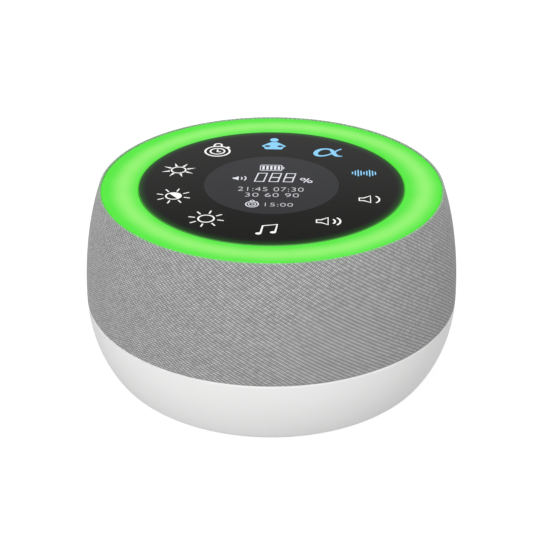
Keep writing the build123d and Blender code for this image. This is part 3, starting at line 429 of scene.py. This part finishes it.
def boardGroup():
    # patches of copper tracks under green lacquer
    group, wants, gives = newGroup(
        "lacqueredTracks",
        [("Lacquer", "Color", (0.03, 0.18, 0.08, 1)), ("Track", "Color", (0.07, 0.3, 0.12, 1)),
         ("Pitch", "Float", 260.0)],
        surfaceOut,
    )
    brick = group.nodes.new("ShaderNodeTexBrick")
    feed(group, brick.inputs["Vector"], wants["Vector"])
    feed(group, brick.inputs["Scale"], wants["Pitch"])
    brick.inputs["Mortar Size"].default_value = 0.09
    brick.inputs["Mortar Smooth"].default_value = 0.3
    brick.offset = 0.37
    patch = spanOf(group, noiseOf(group, wants["Vector"], 120.0), 0.45, 0.55)
    track = calc(group, "MULTIPLY", brick.outputs["Fac"], patch)
    group.links.new(blendOf(group, track, wants["Lacquer"], wants["Track"]), gives["Color"])
    group.links.new(calc(group, "MULTIPLY_ADD", track, -0.08, 0.38), gives["Roughness"])
    group.links.new(track, gives["Height"])
    return group


def ridgeGroup():
    # turns of wire, or the ridges of pressed cloth and paper, one above another
    group, wants, gives = newGroup(
        "fineRidges",
        [("Color", "Color", (0.7, 0.4, 0.2, 1)), ("Ridges", "Float", 3000.0), ("Shade", "Float", 0.3)],
        surfaceOut,
    )
    wave = group.nodes.new("ShaderNodeTexWave")
    wave.wave_type = "BANDS"
    wave.bands_direction = "Z"
    feed(group, wave.inputs["Vector"], wants["Vector"])
    feed(group, wave.inputs["Scale"], wants["Ridges"])
    fleck = noiseOf(group, wants["Vector"], 900.0, 3.0)
    between = calc(group, "SUBTRACT", wave.outputs["Fac"], 1.0)
    shade = calc(group, "MULTIPLY_ADD", between, wants["Shade"], 1.0)
    group.links.new(lit(group, wants["Color"], swing(group, fleck, 0.3, shade)), gives["Color"])
    group.links.new(calc(group, "MULTIPLY_ADD", fleck, 0.3, 0.35), gives["Roughness"])
    group.links.new(wave.outputs["Fac"], gives["Height"])
    return group


moulded = mouldedGroup()
spun = spunGroup()
woven = wovenGroup()
ringLight = ringLightGroup()
rimLight = rimLightGroup()
rimSpill = rimSpillGroup()
lacquered = boardGroup()
ridged = ridgeGroup()
print("shader groups ready")


# one material for each slot of the record
def newMaterial(name, settings):
    made = bpy.data.materials.new(name)
    made.use_nodes = True
    shader = made.node_tree.nodes["Principled BSDF"]
    for label, value in settings.items():
        shader.inputs[label].default_value = value
    return made, made.node_tree, shader


def placeOn(tree, source="Object"):
    return tree.nodes.new("ShaderNodeTexCoord").outputs[source]


def useGroup(tree, group, vector, values):
    node = tree.nodes.new("ShaderNodeGroup")
    node.node_tree = group
    tree.links.new(vector, node.inputs["Vector"])
    for label, value in values.items():
        node.inputs[label].default_value = value
    return node.outputs


def dress(tree, shader, outs, relief):
    tree.links.new(outs["Color"], shader.inputs["Base Color"])
    tree.links.new(outs["Roughness"], shader.inputs["Roughness"])
    bump = tree.nodes.new("ShaderNodeBump")
    bump.inputs["Strength"].default_value = relief[0]
    bump.inputs["Distance"].default_value = relief[1]
    tree.links.new(outs["Height"], bump.inputs["Height"])
    tree.links.new(bump.outputs[0], shader.inputs["Normal"])


plastics = {  # colour, grain, roughness, mottle, relief strength and depth, shader settings
    "base_white": ((0.83, 0.83, 0.826), 3200.0, 0.36, 0.025, (0.12, 0.00006), {}),
    "button_white": ((0.80, 0.80, 0.795), 5200.0, 0.3, 0.02, (0.08, 0.00005), {}),
    "foot_rubber": ((0.13, 0.13, 0.135), 2600.0, 0.85, 0.2, (0.5, 0.00012), {"Specular IOR Level": 0.3}),
    "grille_black": ((0.03, 0.03, 0.032), 3600.0, 0.55, 0.1, (0.25, 0.00008), {}),
    "deck_white": ((0.74, 0.74, 0.73), 3000.0, 0.5, 0.04, (0.2, 0.00008), {}),
    "chip_black": ((0.022, 0.022, 0.024), 4200.0, 0.5, 0.15, (0.3, 0.00006), {}),
    "connector_cream": ((0.72, 0.68, 0.56), 3600.0, 0.45, 0.05, (0.15, 0.00005), {}),
    "led_white": ((0.85, 0.84, 0.72), 2400.0, 0.25, 0.08, (0.1, 0.00004), {}),
    "ferrite": ((0.06, 0.06, 0.064), 2200.0, 0.6, 0.3, (0.5, 0.0001), {}),
    "edge_rubber": ((0.022, 0.022, 0.023), 2600.0, 0.6, 0.2, (0.3, 0.0001), {}),
    "foam_grey": ((0.10, 0.10, 0.105), 1500.0, 0.95, 0.45, (0.9, 0.0003), {"Specular IOR Level": 0.2}),
    "cell_blue": ((0.07, 0.17, 0.36), 1400.0, 0.3, 0.08, (0.2, 0.0001), {"Coat Weight": 0.3}),
    "cable_white": ((0.76, 0.76, 0.74), 2400.0, 0.4, 0.05, (0.1, 0.00004), {}),
}
metals = {  # colour, lines, roughness, depth, metallic
    "steel_bright": ((0.62, 0.62, 0.61), 5200.0, 0.3, 0.22, 1.0),
    "steel_dark": ((0.035, 0.035, 0.037), 4200.0, 0.42, 0.3, 0.0),
}
ridges = {  # colour, ridges, shade, relief
    "cone_paper": ((0.055, 0.055, 0.056), 900.0, 0.25, (0.5, 0.0001)),
    "spider_cloth": ((0.52, 0.36, 0.12), 1500.0, 0.35, (0.6, 0.0002)),
    "copper": ((0.66, 0.30, 0.11), 1700.0, 0.5, (0.6, 0.0001)),
}
metalRelief = (0.2, 0.00005)
materials = {}

for slot, (color, grain, rough, mottle, relief, settings) in plastics.items():
    made, tree, shader = newMaterial(slot, settings)
    look = {"Color": (*color, 1), "Grain": grain, "Roughness": rough, "Mottle": mottle}
    dress(tree, shader, useGroup(tree, moulded, placeOn(tree), look), relief)
    materials[slot] = made

for slot, (color, lines, rough, depth, metallic) in metals.items():
    made, tree, shader = newMaterial(slot, {"Metallic": metallic})
    look = {"Color": (*color, 1), "Lines": lines, "Roughness": rough, "Depth": depth}
    dress(tree, shader, useGroup(tree, spun, placeOn(tree), look), metalRelief)
    materials[slot] = made

for slot, (color, count, shade, relief) in ridges.items():
    made, tree, shader = newMaterial(slot, {"Metallic": 1.0 if slot == "copper" else 0.0})
    look = {"Color": (*color, 1), "Ridges": count, "Shade": shade}
    dress(tree, shader, useGroup(tree, ridged, placeOn(tree), look), relief)
    materials[slot] = made

made, tree, shader = newMaterial("board_green", {"Coat Weight": 0.25})
dress(tree, shader, useGroup(tree, lacquered, placeOn(tree), {}), (0.4, 0.00008))
materials["board_green"] = made

ringGlow = {
    "Edge": (0.055, 0.70, 0.020, 1),
    "Middle": (0.245, 0.78, 0.128, 1),
    "Peak": 0.0474,
    "Spread": 0.0053,
    "Shift": (0.0008, -0.0007, 0.0),  # the lamps' circle lies a little off the ring's middle
}
ringBody = {"Color": (0.012, 0.08, 0.008, 1), "Grain": 5200.0, "Roughness": 0.42}
made, tree, shader = newMaterial("ring_glow", {
    "Roughness": ringBody["Roughness"], "Emission Strength": 1.0, "Specular IOR Level": 0.3,
})
glow = useGroup(tree, ringLight, placeOn(tree), ringGlow)
tree.links.new(glow["Color"], shader.inputs["Emission Color"])
dress(tree, shader, useGroup(tree, moulded, placeOn(tree), ringBody), (0.05, 0.00004))
materials["ring_glow"] = made

glassRelief = (0.01, 0.00002)
lensGlass = {
    "Color": (0.0085, 0.0085, 0.0080, 1), "Grain": 900.0, "Roughness": 0.09,
    "Mottle": 0.1, "Unevenness": 0.04,
}
lensLeak = {
    "Color": (0.010, 0.105, 0.007, 1), "Rim": 0.042, "Reach": 0.0042, "Sides": 0.3,
    "Edge": (0.022, 0.22, 0.010, 1),
}
lensEdgeRough = 0.6  # added to the roughness on the lens's edge
made, tree, shader = newMaterial("lens_black", {"Specular IOR Level": 0.5, "Emission Strength": 1.0})
grain = useGroup(tree, moulded, placeOn(tree), lensGlass)
dress(tree, shader, grain, glassRelief)
leak = useGroup(tree, rimLight, placeOn(tree), lensLeak)
tree.links.new(leak["Color"], shader.inputs["Emission Color"])
rough = calc(tree, "MULTIPLY_ADD", leak["Rim"], lensEdgeRough, grain["Roughness"])
tree.links.new(rough, shader.inputs["Roughness"])
materials["lens_black"] = made

windowGlass = {
    "Color": (0.0262, 0.0266, 0.0300, 1), "Grain": 900.0, "Roughness": 0.12,
    "Mottle": 0.06, "Unevenness": 0.03,
}
made, tree, shader = newMaterial("window_smoke", {"Specular IOR Level": 0.5})
dress(tree, shader, useGroup(tree, moulded, placeOn(tree), windowGlass), glassRelief)
materials["window_smoke"] = made

slotOf = {row["node"]: row["material_slot"] for row in frame["record"]["subparts"]}
for name, node in nodes.items():
    finish = materials.get(slotOf[name])
    if finish is None:  # the sleeve gets its cloth below
        continue
    for holder in node.material_slots:
        holder.material = finish
print("materials on", len(nodes), "pieces")


# woven sleeve, stretched over the grille wall

bodyForm = {"radius": 60.0, "bulge": 20.7, "reach": 53.5, "equator": 25.8}
sleeve = {
    "low": 25.3,
    "rim": 62.8,
    "thick": 0.8,
    "edgeRound": 0.38,
    "hemTop": 59.9,
    "hemThick": 0.6,
    "hemInset": 2.9,  # from the cloth's outer face to the grille wall's inner face
    "hemFit": 0.15,  # the upper hem stops this much short of that inner face
    "lowHemInset": 0.4,  # the lower hem's width is measured from the middle of the cloth
    "lowHemWidth": 2.6,
    "around": 288,
    "steps": {"edge": 4, "wall": 44, "rim": 6, "overHem": 4, "inside": 24},
    "cordsRound": 213,  # slanting cords and the yarns that cross them, counted round the widest place
    "yarnsRound": 370,
    "cordUp": 0.849,  # and counted up the wall, for each millimetre
    "yarnUp": -1.496,
    "drift": -0.03,  # share by which the count up the wall falls to the right and grows to the left
    "relief": (0.6, 0.00012),
}
# the valley colour is painted shade in the grooves between cords
yarnLook = {
    "Crest": (0.555, 0.555, 0.555, 1), "Valley Shade": (0.188, 0.188, 0.190, 1), "Yarn Share": 0.93, "Melange": 0.3,
}


def wallRadius(height, inset=0.0):
    rise = (height - bodyForm["equator"]) / (bodyForm["reach"] - inset)
    return bodyForm["radius"] - bodyForm["bulge"] + (bodyForm["bulge"] - inset) * math.sqrt(1 - rise ** 2)


def turnedPiece(name, line, around):
    # rings are extruded and sized one after another along the closed line of (radius, height)
    letGo()
    radius, height = line[0]
    bpy.ops.mesh.primitive_circle_add(vertices=around, radius=radius * mm, location=(0, 0, height * mm))
    piece = bpy.context.object
    piece.name = name
    bpy.ops.object.transform_apply(location=True, rotation=True, scale=True)
    bpy.ops.object.mode_set(mode="EDIT")
    bpy.ops.mesh.select_all(action="SELECT")
    for nextRadius, nextHeight in line[1:] + line[:1]:
        bpy.ops.mesh.extrude_edges_move(TRANSFORM_OT_translate={"value": (0, 0, (nextHeight - height) * mm)})
        size = nextRadius / radius
        bpy.ops.transform.resize(value=(size, size, 1), center_override=(0, 0, nextHeight * mm))
        radius, height = nextRadius, nextHeight
    bpy.ops.mesh.select_all(action="SELECT")
    bpy.ops.mesh.remove_doubles(threshold=0.000002)
    bpy.ops.mesh.normals_make_consistent(inside=False)
    bpy.ops.object.mode_set(mode="OBJECT")
    return piece


def sleeveOutline():
    # up the outer face, over the rim, down the inner face by way of the two hems
    low, rim, turn = sleeve["low"], sleeve["rim"], sleeve["edgeRound"]
    steps = sleeve["steps"]
    line = []
    for i in range(steps["edge"] + 1):
        a = math.radians(-90 + 90 * i / steps["edge"])
        line.append((wallRadius(low + turn) - turn + turn * math.cos(a), low + turn + turn * math.sin(a)))
    for i in range(1, steps["wall"]):
        height = low + turn + (rim - turn - low - turn) * i / steps["wall"]
        line.append((wallRadius(height), height))
    middle = wallRadius(rim - turn) - turn
    for i in range(steps["rim"] + 1):
        a = math.radians(180 * i / steps["rim"])
        line.append((middle + turn * math.cos(a), rim - turn + turn * math.sin(a)))
    for i in range(1, steps["overHem"] + 1):
        height = rim - turn + (sleeve["hemTop"] - rim + turn) * i / steps["overHem"]
        line.append((wallRadius(height, sleeve["thick"]), height))
    underHem = sleeve["hemTop"] - sleeve["hemThick"]
    hemEnd = wallRadius(sleeve["hemTop"], sleeve["hemInset"]) + sleeve["hemFit"]
    line += [(hemEnd, sleeve["hemTop"]), (hemEnd, underHem)]
    lowHem = low + sleeve["hemThick"]
    for i in range(steps["inside"] + 1):
        height = underHem + (lowHem - underHem) * i / steps["inside"]
        line.append((wallRadius(height, sleeve["thick"]), height))
    lowEnd = wallRadius(low, sleeve["lowHemInset"]) - sleeve["lowHemWidth"]
    return line + [(lowEnd, lowHem), (lowEnd, low)]


def layCloth(mesh, line):
    # millimetres round and up the surface, the cloth's join at the back
    while mesh.uv_layers:
        mesh.uv_layers.remove(mesh.uv_layers[0])
    lay = mesh.uv_layers.new(name="clothLay")
    runs = [0.0]
    for (r0, z0), (r1, z1) in zip(line, line[1:]):
        rise, step = abs(z1 - z0), abs(r1 - r0)
        # the cloth is pulled a little longer where the wall leans in
        runs.append(runs[-1] + (rise if rise > step else math.hypot(r1 - r0, z1 - z0)))
    runAt = {(round(r, 3), round(z, 3)): run for (r, z), run in zip(line, runs)}
    for face in mesh.polygons:
        middle = math.atan2(face.center.x, -face.center.y)
        for corner in face.loop_indices:
            spot = mesh.vertices[mesh.loops[corner].vertex_index].co
            angle = math.atan2(spot.x, -spot.y)
            if angle - middle > math.pi:
                angle -= 2 * math.pi
            elif angle - middle < -math.pi:
                angle += 2 * math.pi
            r, z = math.hypot(spot.x, spot.y) / mm, spot.z / mm
            run = runAt.get((round(r, 3), round(z, 3)))
            if run is None:  # rounded the other way, so the nearest point of the line is taken
                run = min(zip(line, runs), key=lambda pair: abs(pair[0][0] - r) + abs(pair[0][1] - z))[1]
            lay.data[corner].uv = (angle * bodyForm["radius"], run * (1 + sleeve["drift"] * math.sin(angle)))


def shadeSmooth(piece, degrees):
    letGo()
    piece.select_set(True)
    bpy.context.view_layer.objects.active = piece
    bpy.ops.object.shade_smooth_by_angle(angle=math.radians(degrees))


def clothFinish():
    made, tree, shader = newMaterial("sleeve_fabric", {
        "Sheen Weight": 0.15, "Sheen Roughness": 0.5, "Specular IOR Level": 0.2, "Emission Strength": 1.0,
    })
    girth = 2 * math.pi * bodyForm["radius"]
    outs = useGroup(tree, woven, placeOn(tree, "UV"), {
        **yarnLook,
        "Cord Across": sleeve["cordsRound"] / girth, "Cord Up": sleeve["cordUp"],
        "Yarn Across": sleeve["yarnsRound"] / girth, "Yarn Up": sleeve["yarnUp"],
    })
    dress(tree, shader, outs, sleeve["relief"])
    # painted light from the ring glows on the cloth's rim, and painted shade darkens the cloth's colour there
    spill = useGroup(tree, rimSpill, placeOn(tree), {"Color": (0.004, 0.13, 0.0, 1), "Shade": 0.25})
    tree.links.new(lit(tree, outs["Color"], spill["Rim Shade"]), shader.inputs["Base Color"])
    tree.links.new(spill["Color"], shader.inputs["Emission Color"])
    return made


sleeveLine = sleeveOutline()
sleevePiece = turnedPiece("wovenSleeve", sleeveLine, sleeve["around"])
layCloth(sleevePiece.data, sleeveLine)
shadeSmooth(sleevePiece, 50)
sleevePiece.data.materials.append(clothFinish())
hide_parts("fabric_sleeve")
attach(sleevePiece, "root")
print("sleeve laid")


# the loudspeaker's soft parts, which bend between the fixed basket and the moving cone

speakerEdge = {  # rubber roll: upper side inwards, then underside outwards, as (radius, height)
    "over": [
        (25.9, 33.55), (24.9, 33.55), (24.2, 33.55), (23.7, 33.48), (23.25, 33.28), (22.73, 32.91),
        (22.2, 32.43), (21.63, 31.92), (21.17, 31.41), (20.8, 31.04), (20.55, 30.86), (20.3, 30.8),
        (18.9, 30.8),
    ],
    "under": [
        (18.9, 30.35), (20.5, 30.35), (20.85, 30.44), (21.1, 30.7), (21.5, 31.1), (21.95, 31.6),
        (22.5, 32.1), (23.0, 32.55), (23.45, 32.88), (23.8, 33.04), (24.2, 33.1), (24.9, 33.1),
        (25.9, 33.1),
    ],
    "fixed": 33.5,  # heights between which it bends
    "moving": 30.4,
    "around": 128,
}
spiderCloth = {
    "neck": 7.3,
    "rim": 17.37,
    "top": 26.0,
    "low": 22.8,
    "skin": 0.4,
    "plain": 1.1,  # flat width at the neck and at the rim
    "waves": 3,
    "steps": 8,  # for each wave
    "depth": 0.32,
    "around": 96,
}


def finishSoft(piece, node, slot):
    shadeSmooth(piece, 40)
    piece.data.materials.append(materials[slot])
    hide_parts(node)
    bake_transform(piece)


def makeSpider():
    form = spiderCloth
    over = [(form["neck"], form["top"])]
    start, end = form["neck"] + form["plain"], form["rim"] - form["plain"]
    drop = form["top"] - form["low"] - form["skin"]
    count = form["steps"] * form["waves"]
    for i in range(count + 1):
        share = i / count
        wave = form["depth"] * math.sin(2 * math.pi * form["waves"] * share) * math.sin(math.pi * share)
        over.append((start + (end - start) * share, form["top"] - drop * share - wave))
    over.append((form["rim"], form["low"] + form["skin"]))
    under = [(r, z - form["skin"]) for r, z in reversed(over)]
    return turnedPiece("corrugatedSpider", over + under, form["around"])


rubberEdge = turnedPiece("rubberEdge", speakerEdge["over"] + speakerEdge["under"], speakerEdge["around"])
finishSoft(rubberEdge, "speaker_surround", "edge_rubber")
finishSoft(makeSpider(), "speaker_spider", "spider_cloth")
print("speaker's soft parts made")


# symbols on the touch panel, in millimetres round the panel's middle

panelTop = 62.3
symbolCircle = 31.6
ink = {
    "height": 0.03,
    "flatness": 0.06,  # share of its thickness that a round stroke keeps
    "fillDepth": 0.02,
    "weld": 0.0000002,
}


def oval(cx, cy, rx, ry, count=32):
    turns = [2 * math.pi * i / count for i in range(count)]
    return [(cx + rx * math.cos(turn), cy + ry * math.sin(turn)) for turn in turns]


def ring(cx, cy, radius, count=40):
    return oval(cx, cy, radius, radius, count)


def polar(radius, degrees):
    return radius * math.cos(math.radians(degrees)), radius * math.sin(math.radians(degrees))


def bow(cx, cy, radius, start, end, count=12):
    spots = [polar(radius, start + (end - start) * i / count) for i in range(count + 1)]
    return [(cx + x, cy + y) for x, y in spots]


def sunRays(start, inner, outer, width):
    return [([polar(inner, start + 45 * k), polar(outer, start + 45 * k)], width, False) for k in range(8)]


def sunWedges(start, inner, outer, wide):
    made = []
    for k in range(8):
        a = math.radians(start + 45 * k)
        along, side = (math.cos(a), math.sin(a)), (-math.sin(a), math.cos(a))
        made.append([(inner * along[0] + wide * side[0], inner * along[1] + wide * side[1]),
                     (outer * along[0], outer * along[1]),
                     (inner * along[0] - wide * side[0], inner * along[1] - wide * side[1])])
    return made


horn = [(-3.1, 0.75), (-1.7, 0.75), (0.35, 2.35), (0.35, -2.45), (-1.7, -1.15), (-3.1, -1.15)]
hornTwo = [(x - 0.4, y) for x, y in horn]
alphaLine = [  # x, y and stroke width along the letter-like sign
    (4.6, 3.0, 0.6), (3.3, 1.9, 0.7), (2.0, -0.1, 0.7), (0.4, -1.9, 0.75), (-1.9, -3.1, 0.95),
    (-3.9, -2.4, 1.35), (-4.0, 0.1, 1.65), (-2.6, 2.3, 1.35), (-0.6, 3.05, 0.85), (1.2, 2.4, 1.1),
    (1.8, 0.5, 1.6), (2.3, -1.7, 1.6), (3.2, -3.0, 1.1), (4.8, -2.9, 0.45),
]
barHeights = [1.7, 3.5, 4.8, 3.5, 2.0, 3.4, 4.9, 3.7, 2.3]
bars = [[(-3.66 + 0.915 * i, -h / 2), (-3.66 + 0.915 * i, h / 2)] for i, h in enumerate(barHeights)]
sitterBody = [
    (-0.85, 2.2), (-1.6, 1.6), (-2.4, 0.8), (-3.3, -0.3), (-4.05, -1.1), (-3.5, -1.75), (-3.0, -2.3),
    (-3.1, -3.0), (-2.5, -3.7), (2.5, -3.7), (3.1, -3.0), (3.0, -2.3), (3.5, -1.75), (4.05, -1.1),
    (3.3, -0.3), (2.4, 0.8), (1.6, 1.6), (0.85, 2.2),
]
noteLine = [(-1.75, -2.8), (-1.25, 2.1), (3.05, 3.1), (2.55, -1.9)]
watchKnob = [(-1.3, 4.1), (-1.35, 5.2), (-0.95, 6.05), (-0.1, 6.4), (0.75, 6.05), (1.15, 5.2), (1.1, 4.1)]
symbols = {
    # angle round the panel, nudge, colour, strokes as (points, width, closed), fills as outlines
    "bars": (18, (-0.7, -0.5), "blue", [(bar, 0.42, False) for bar in bars], []),
    "alpha": (54, (-0.9, -0.3), "blue", [(alphaLine, 1.0, False)], []),
    "sitter": (90, (-0.3, -0.6), "blue", [], [
        sitterBody,
        oval(-2.1, -1.2, 0.95, 0.8, 20), oval(2.1, -1.2, 0.95, 0.8, 20),  # openings inside the arms
        oval(0.0, 4.1, 1.42, 1.4),  # the head stands clear of the shoulders
    ]),
    "stopwatch": (126, (-0.25, -0.6), "white", [
        (ring(0, 0, 4.05), 0.62, True), (ring(0, 0, 2.35), 0.55, True),
        ([(0.0, 1.4), (0.0, -0.4), (1.2, -0.45)], 0.6, False),
        (watchKnob, 0.62, False),
        ([(3.0, 3.0), (3.75, 3.6)], 1.05, False),
    ], []),
    "sunLow": (162, (-0.25, -0.2), "white", [(ring(0, 0, 2.3), 0.48, True)], sunWedges(17.3, 2.9, 5.5, 0.42)),
    "sunHalf": (198, (-0.05, -0.1), "white", [(ring(0, 0, 2.35), 0.48, True)] + sunRays(31, 3.4, 5.4, 0.45),
                [bow(0, 0, 2.5, -51, 129, 20)]),
    "sunHigh": (234, (-0.2, 0.3), "white", [(ring(0, 0, 2.4), 0.5, True)] + sunRays(33, 3.5, 5.5, 0.48), []),
    "notes": (270, (-0.3, 0.1), "white", [(noteLine, 0.6, False)],
              [oval(-2.4, -3.0, 0.85, 0.62), oval(1.9, -2.1, 0.85, 0.62)]),
    "louder": (306, (-0.65, 0.0), "white", [
        (hornTwo, 0.56, True),
        (bow(0.05, -0.25, 2.0, 46, -46), 0.55, False), (bow(0.45, -0.15, 3.2, 48, -48), 0.55, False),
    ], []),
    "quieter": (342, (0.55, -0.2), "white", [
        (horn, 0.56, True), (bow(0.0, -0.15, 3.1, 50, -50), 0.5, False),
    ], []),
}


def strokeCurve(name, strokes):
    # points with a width of their own make one smooth line; the others are joined by straight runs
    curve = bpy.data.curves.new(name, "CURVE")
    curve.dimensions = "3D"
    curve.bevel_depth = 0.5 * mm
    curve.bevel_resolution = 1
    curve.use_fill_caps = True
    for points, width, closed in strokes:
        smooth = len(points[0]) == 3
        run = curve.splines.new("NURBS" if smooth else "POLY")
        run.points.add(len(points) - 1)
        for point, spot in zip(run.points, points):
            point.co = (spot[0] * mm, spot[1] * mm, 0, 1)
            point.radius = spot[2] if smooth else width
        if smooth:
            run.order_u = 3
            run.use_endpoint_u = True
            run.resolution_u = 6
        run.use_cyclic_u = closed
    return bpy.data.objects.new(name, curve)


def fillCurve(name, outlines):
    curve = bpy.data.curves.new(name, "CURVE")
    curve.dimensions = "2D"
    curve.fill_mode = "BOTH"
    curve.extrude = ink["fillDepth"] * mm
    for points in outlines:
        run = curve.splines.new("POLY")
        run.points.add(len(points) - 1)
        for point, spot in zip(run.points, points):
            point.co = (spot[0] * mm, spot[1] * mm, 0, 1)
        run.use_cyclic_u = True
    return bpy.data.objects.new(name, curve)


def pressInk(name, strokes, outlines, material, words=()):
    # strokes are round, so they are pressed flat before they are laid on the glass
    letGo()
    parts = []
    if strokes:
        line = strokeCurve(name, strokes)
        bpy.context.scene.collection.objects.link(line)
        line.scale = (1, 1, ink["flatness"])
        parts.append(line)
    if outlines:
        flat = fillCurve(name + "Fill", outlines)
        bpy.context.scene.collection.objects.link(flat)
        parts.append(flat)
    parts += list(words)
    for part in parts:
        part.select_set(True)
    bpy.context.view_layer.objects.active = parts[0]
    bpy.ops.object.convert(target="MESH")
    bpy.ops.object.transform_apply(location=True, rotation=True, scale=True)
    if len(parts) > 1:
        bpy.ops.object.join()
    piece = bpy.context.object
    piece.name = name
    piece.location = (0, 0, (panelTop + ink["height"]) * mm)
    bpy.ops.object.transform_apply(location=True, rotation=True, scale=True)
    bpy.ops.object.mode_set(mode="EDIT")
    bpy.ops.mesh.select_all(action="SELECT")
    bpy.ops.mesh.remove_doubles(threshold=ink["weld"])
    bpy.ops.mesh.normals_make_consistent(inside=False)
    bpy.ops.object.mode_set(mode="OBJECT")
    piece.data.materials.clear()
    piece.data.materials.append(material)
    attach(piece, "root")


def inkMaterial(name, color):
    made, tree, shader = newMaterial(name, {
        "Base Color": (0.02, 0.02, 0.02, 1), "Roughness": 0.4, "Specular IOR Level": 0.2,
        "Emission Strength": 1.0,
    })
    look = {"Color": color, "Mottle": 0.05, "Grain": 1800.0, "Roughness": 0.4}
    tone = useGroup(tree, moulded, placeOn(tree), look)
    tree.links.new(tone["Color"], shader.inputs["Emission Color"])
    return made


whiteInk = inkMaterial("litWhite", (1.0, 1.0, 0.99, 1))
blueInk = inkMaterial("litBlue", (0.24, 0.62, 0.93, 1))
displayInk = inkMaterial("litDisplay", (0.78, 0.78, 0.86, 1))
rowInk = inkMaterial("litRows", (0.56, 0.56, 0.60, 1))

for color, material in (("white", whiteInk), ("blue", blueInk)):
    for name, (angle, nudge, tint, strokes, outlines) in symbols.items():
        if tint != color:
            continue
        cx, cy = (along + more for along, more in zip(polar(symbolCircle, angle), nudge))
        moved = [([(x + cx, y + cy, *width) for x, y, *width in points], stroke, closed)
                 for points, stroke, closed in strokes]
        filled = [[(x + cx, y + cy) for x, y in outline] for outline in outlines]
        pressInk("symbol_" + name, moved, filled, material)
print("symbols pressed")


# display: battery sign, figures, number rows and a small watch

display = {
    "digit": (-5.45, 1.75),  # lower left corner of the first figure
    "digitSize": (2.85, 6.3),
    "lean": 1.0,
    "digitStep": 4.55,
    "stroke": 0.56,
    "rows": [  # characters, middle, width and height
        ("21:45 07:30", -0.1, -3.9, 20.6, 2.9),
        ("30 60 90", 0.4, -8.1, 16.8, 2.7),
        ("15:00", 2.8, -14.9, 8.6, 2.4),
    ],
}
rowLetters = {"size": 0.01, "thinned": -0.00016, "spacing": 1.05, "depth": 0.00002}


def figureStrokes(index, middleBar):
    x0 = display["digit"][0] + display["digitStep"] * index
    y0 = display["digit"][1]
    wide, tall = display["digitSize"]
    lean = display["lean"]
    outline = [(x0, y0), (x0 + wide, y0), (x0 + wide + lean, y0 + tall), (x0 + lean, y0 + tall)]
    made = [(outline, display["stroke"], True)]
    if middleBar:
        halfway = y0 + tall / 2
        made.append(([(x0 + lean / 2, halfway), (x0 + wide + lean / 2, halfway)], display["stroke"], False))
    return made


def numberRow(body, cx, cy, wide, tall):
    letGo()
    bpy.ops.object.text_add()
    words = bpy.context.object
    words.data.body = body
    words.data.align_x = "CENTER"
    words.data.align_y = "CENTER"
    words.data.size = rowLetters["size"]
    words.data.offset = rowLetters["thinned"]
    words.data.space_character = rowLetters["spacing"]
    words.data.extrude = rowLetters["depth"]
    bpy.context.view_layer.update()
    bpy.ops.object.convert(target="MESH")
    words = bpy.context.object
    size = words.dimensions
    words.scale = (wide * mm / size.x, tall * mm / size.y, 1)
    bpy.ops.object.transform_apply(location=False, rotation=False, scale=True)
    low = [min(v.co[k] for v in words.data.vertices) for k in range(2)]
    high = [max(v.co[k] for v in words.data.vertices) for k in range(2)]
    words.location = (cx * mm - (low[0] + high[0]) / 2, cy * mm - (low[1] + high[1]) / 2, 0)
    return words


cellCase = [
    (-4.0, 10.6), (-3.6, 10.2), (2.5, 10.2), (2.9, 10.6),
    (2.9, 14.0), (2.5, 14.4), (-3.6, 14.4), (-4.0, 14.0),
]
cellSign = [(cellCase, 0.35, True), ([(2.9, 13.5), (3.7, 12.3), (2.9, 11.1)], 0.35, False)]
cellBars = [[(x - 0.36, 10.85), (x + 0.36, 10.85), (x + 0.36, 13.75), (x - 0.36, 13.75)]
            for x in (-3.0, -1.75, -0.5, 0.75, 1.95)]
percent = [
    (ring(9.85, 3.95, 0.7, 20), 0.42, True), (ring(12.05, 2.15, 0.7, 20), 0.42, True),
    ([(10.15, 1.5), (11.8, 4.6)], 0.42, False),
]
smallHorn = [(-12.5, 4.3), (-11.75, 4.45), (-10.6, 5.3), (-10.6, 2.5), (-11.75, 3.35), (-12.5, 3.5)]
smallBows = [(bow(-10.9, 3.9, 1.4, 40, -40, 8), 0.42, False), (bow(-10.9, 3.9, 2.6, 36, -36, 8), 0.42, False)]
smallWatch = [
    (ring(-5.45, -14.85, 1.95, 28), 0.4, True), (ring(-5.45, -14.85, 1.1, 20), 0.35, True),
    ([(-6.0, -12.9), (-5.95, -12.3), (-5.45, -11.9), (-4.95, -12.3), (-4.9, -12.9)], 0.35, False),
    ([(-5.45, -14.3), (-5.45, -14.95), (-5.0, -14.95)], 0.3, False),
    ([(-4.1, -13.4), (-3.8, -13.1)], 0.45, False),
]
figures = figureStrokes(0, False) + figureStrokes(1, True) + figureStrokes(2, True)
rows = [numberRow(*row) for row in display["rows"]]
strokes = figures + cellSign + percent + smallBows + smallWatch
pressInk("displayFigures", strokes, cellBars + [smallHorn], displayInk)
for row in rows:
    pressInk("displayRow", [], [], rowInk, [row])
print("display lit")
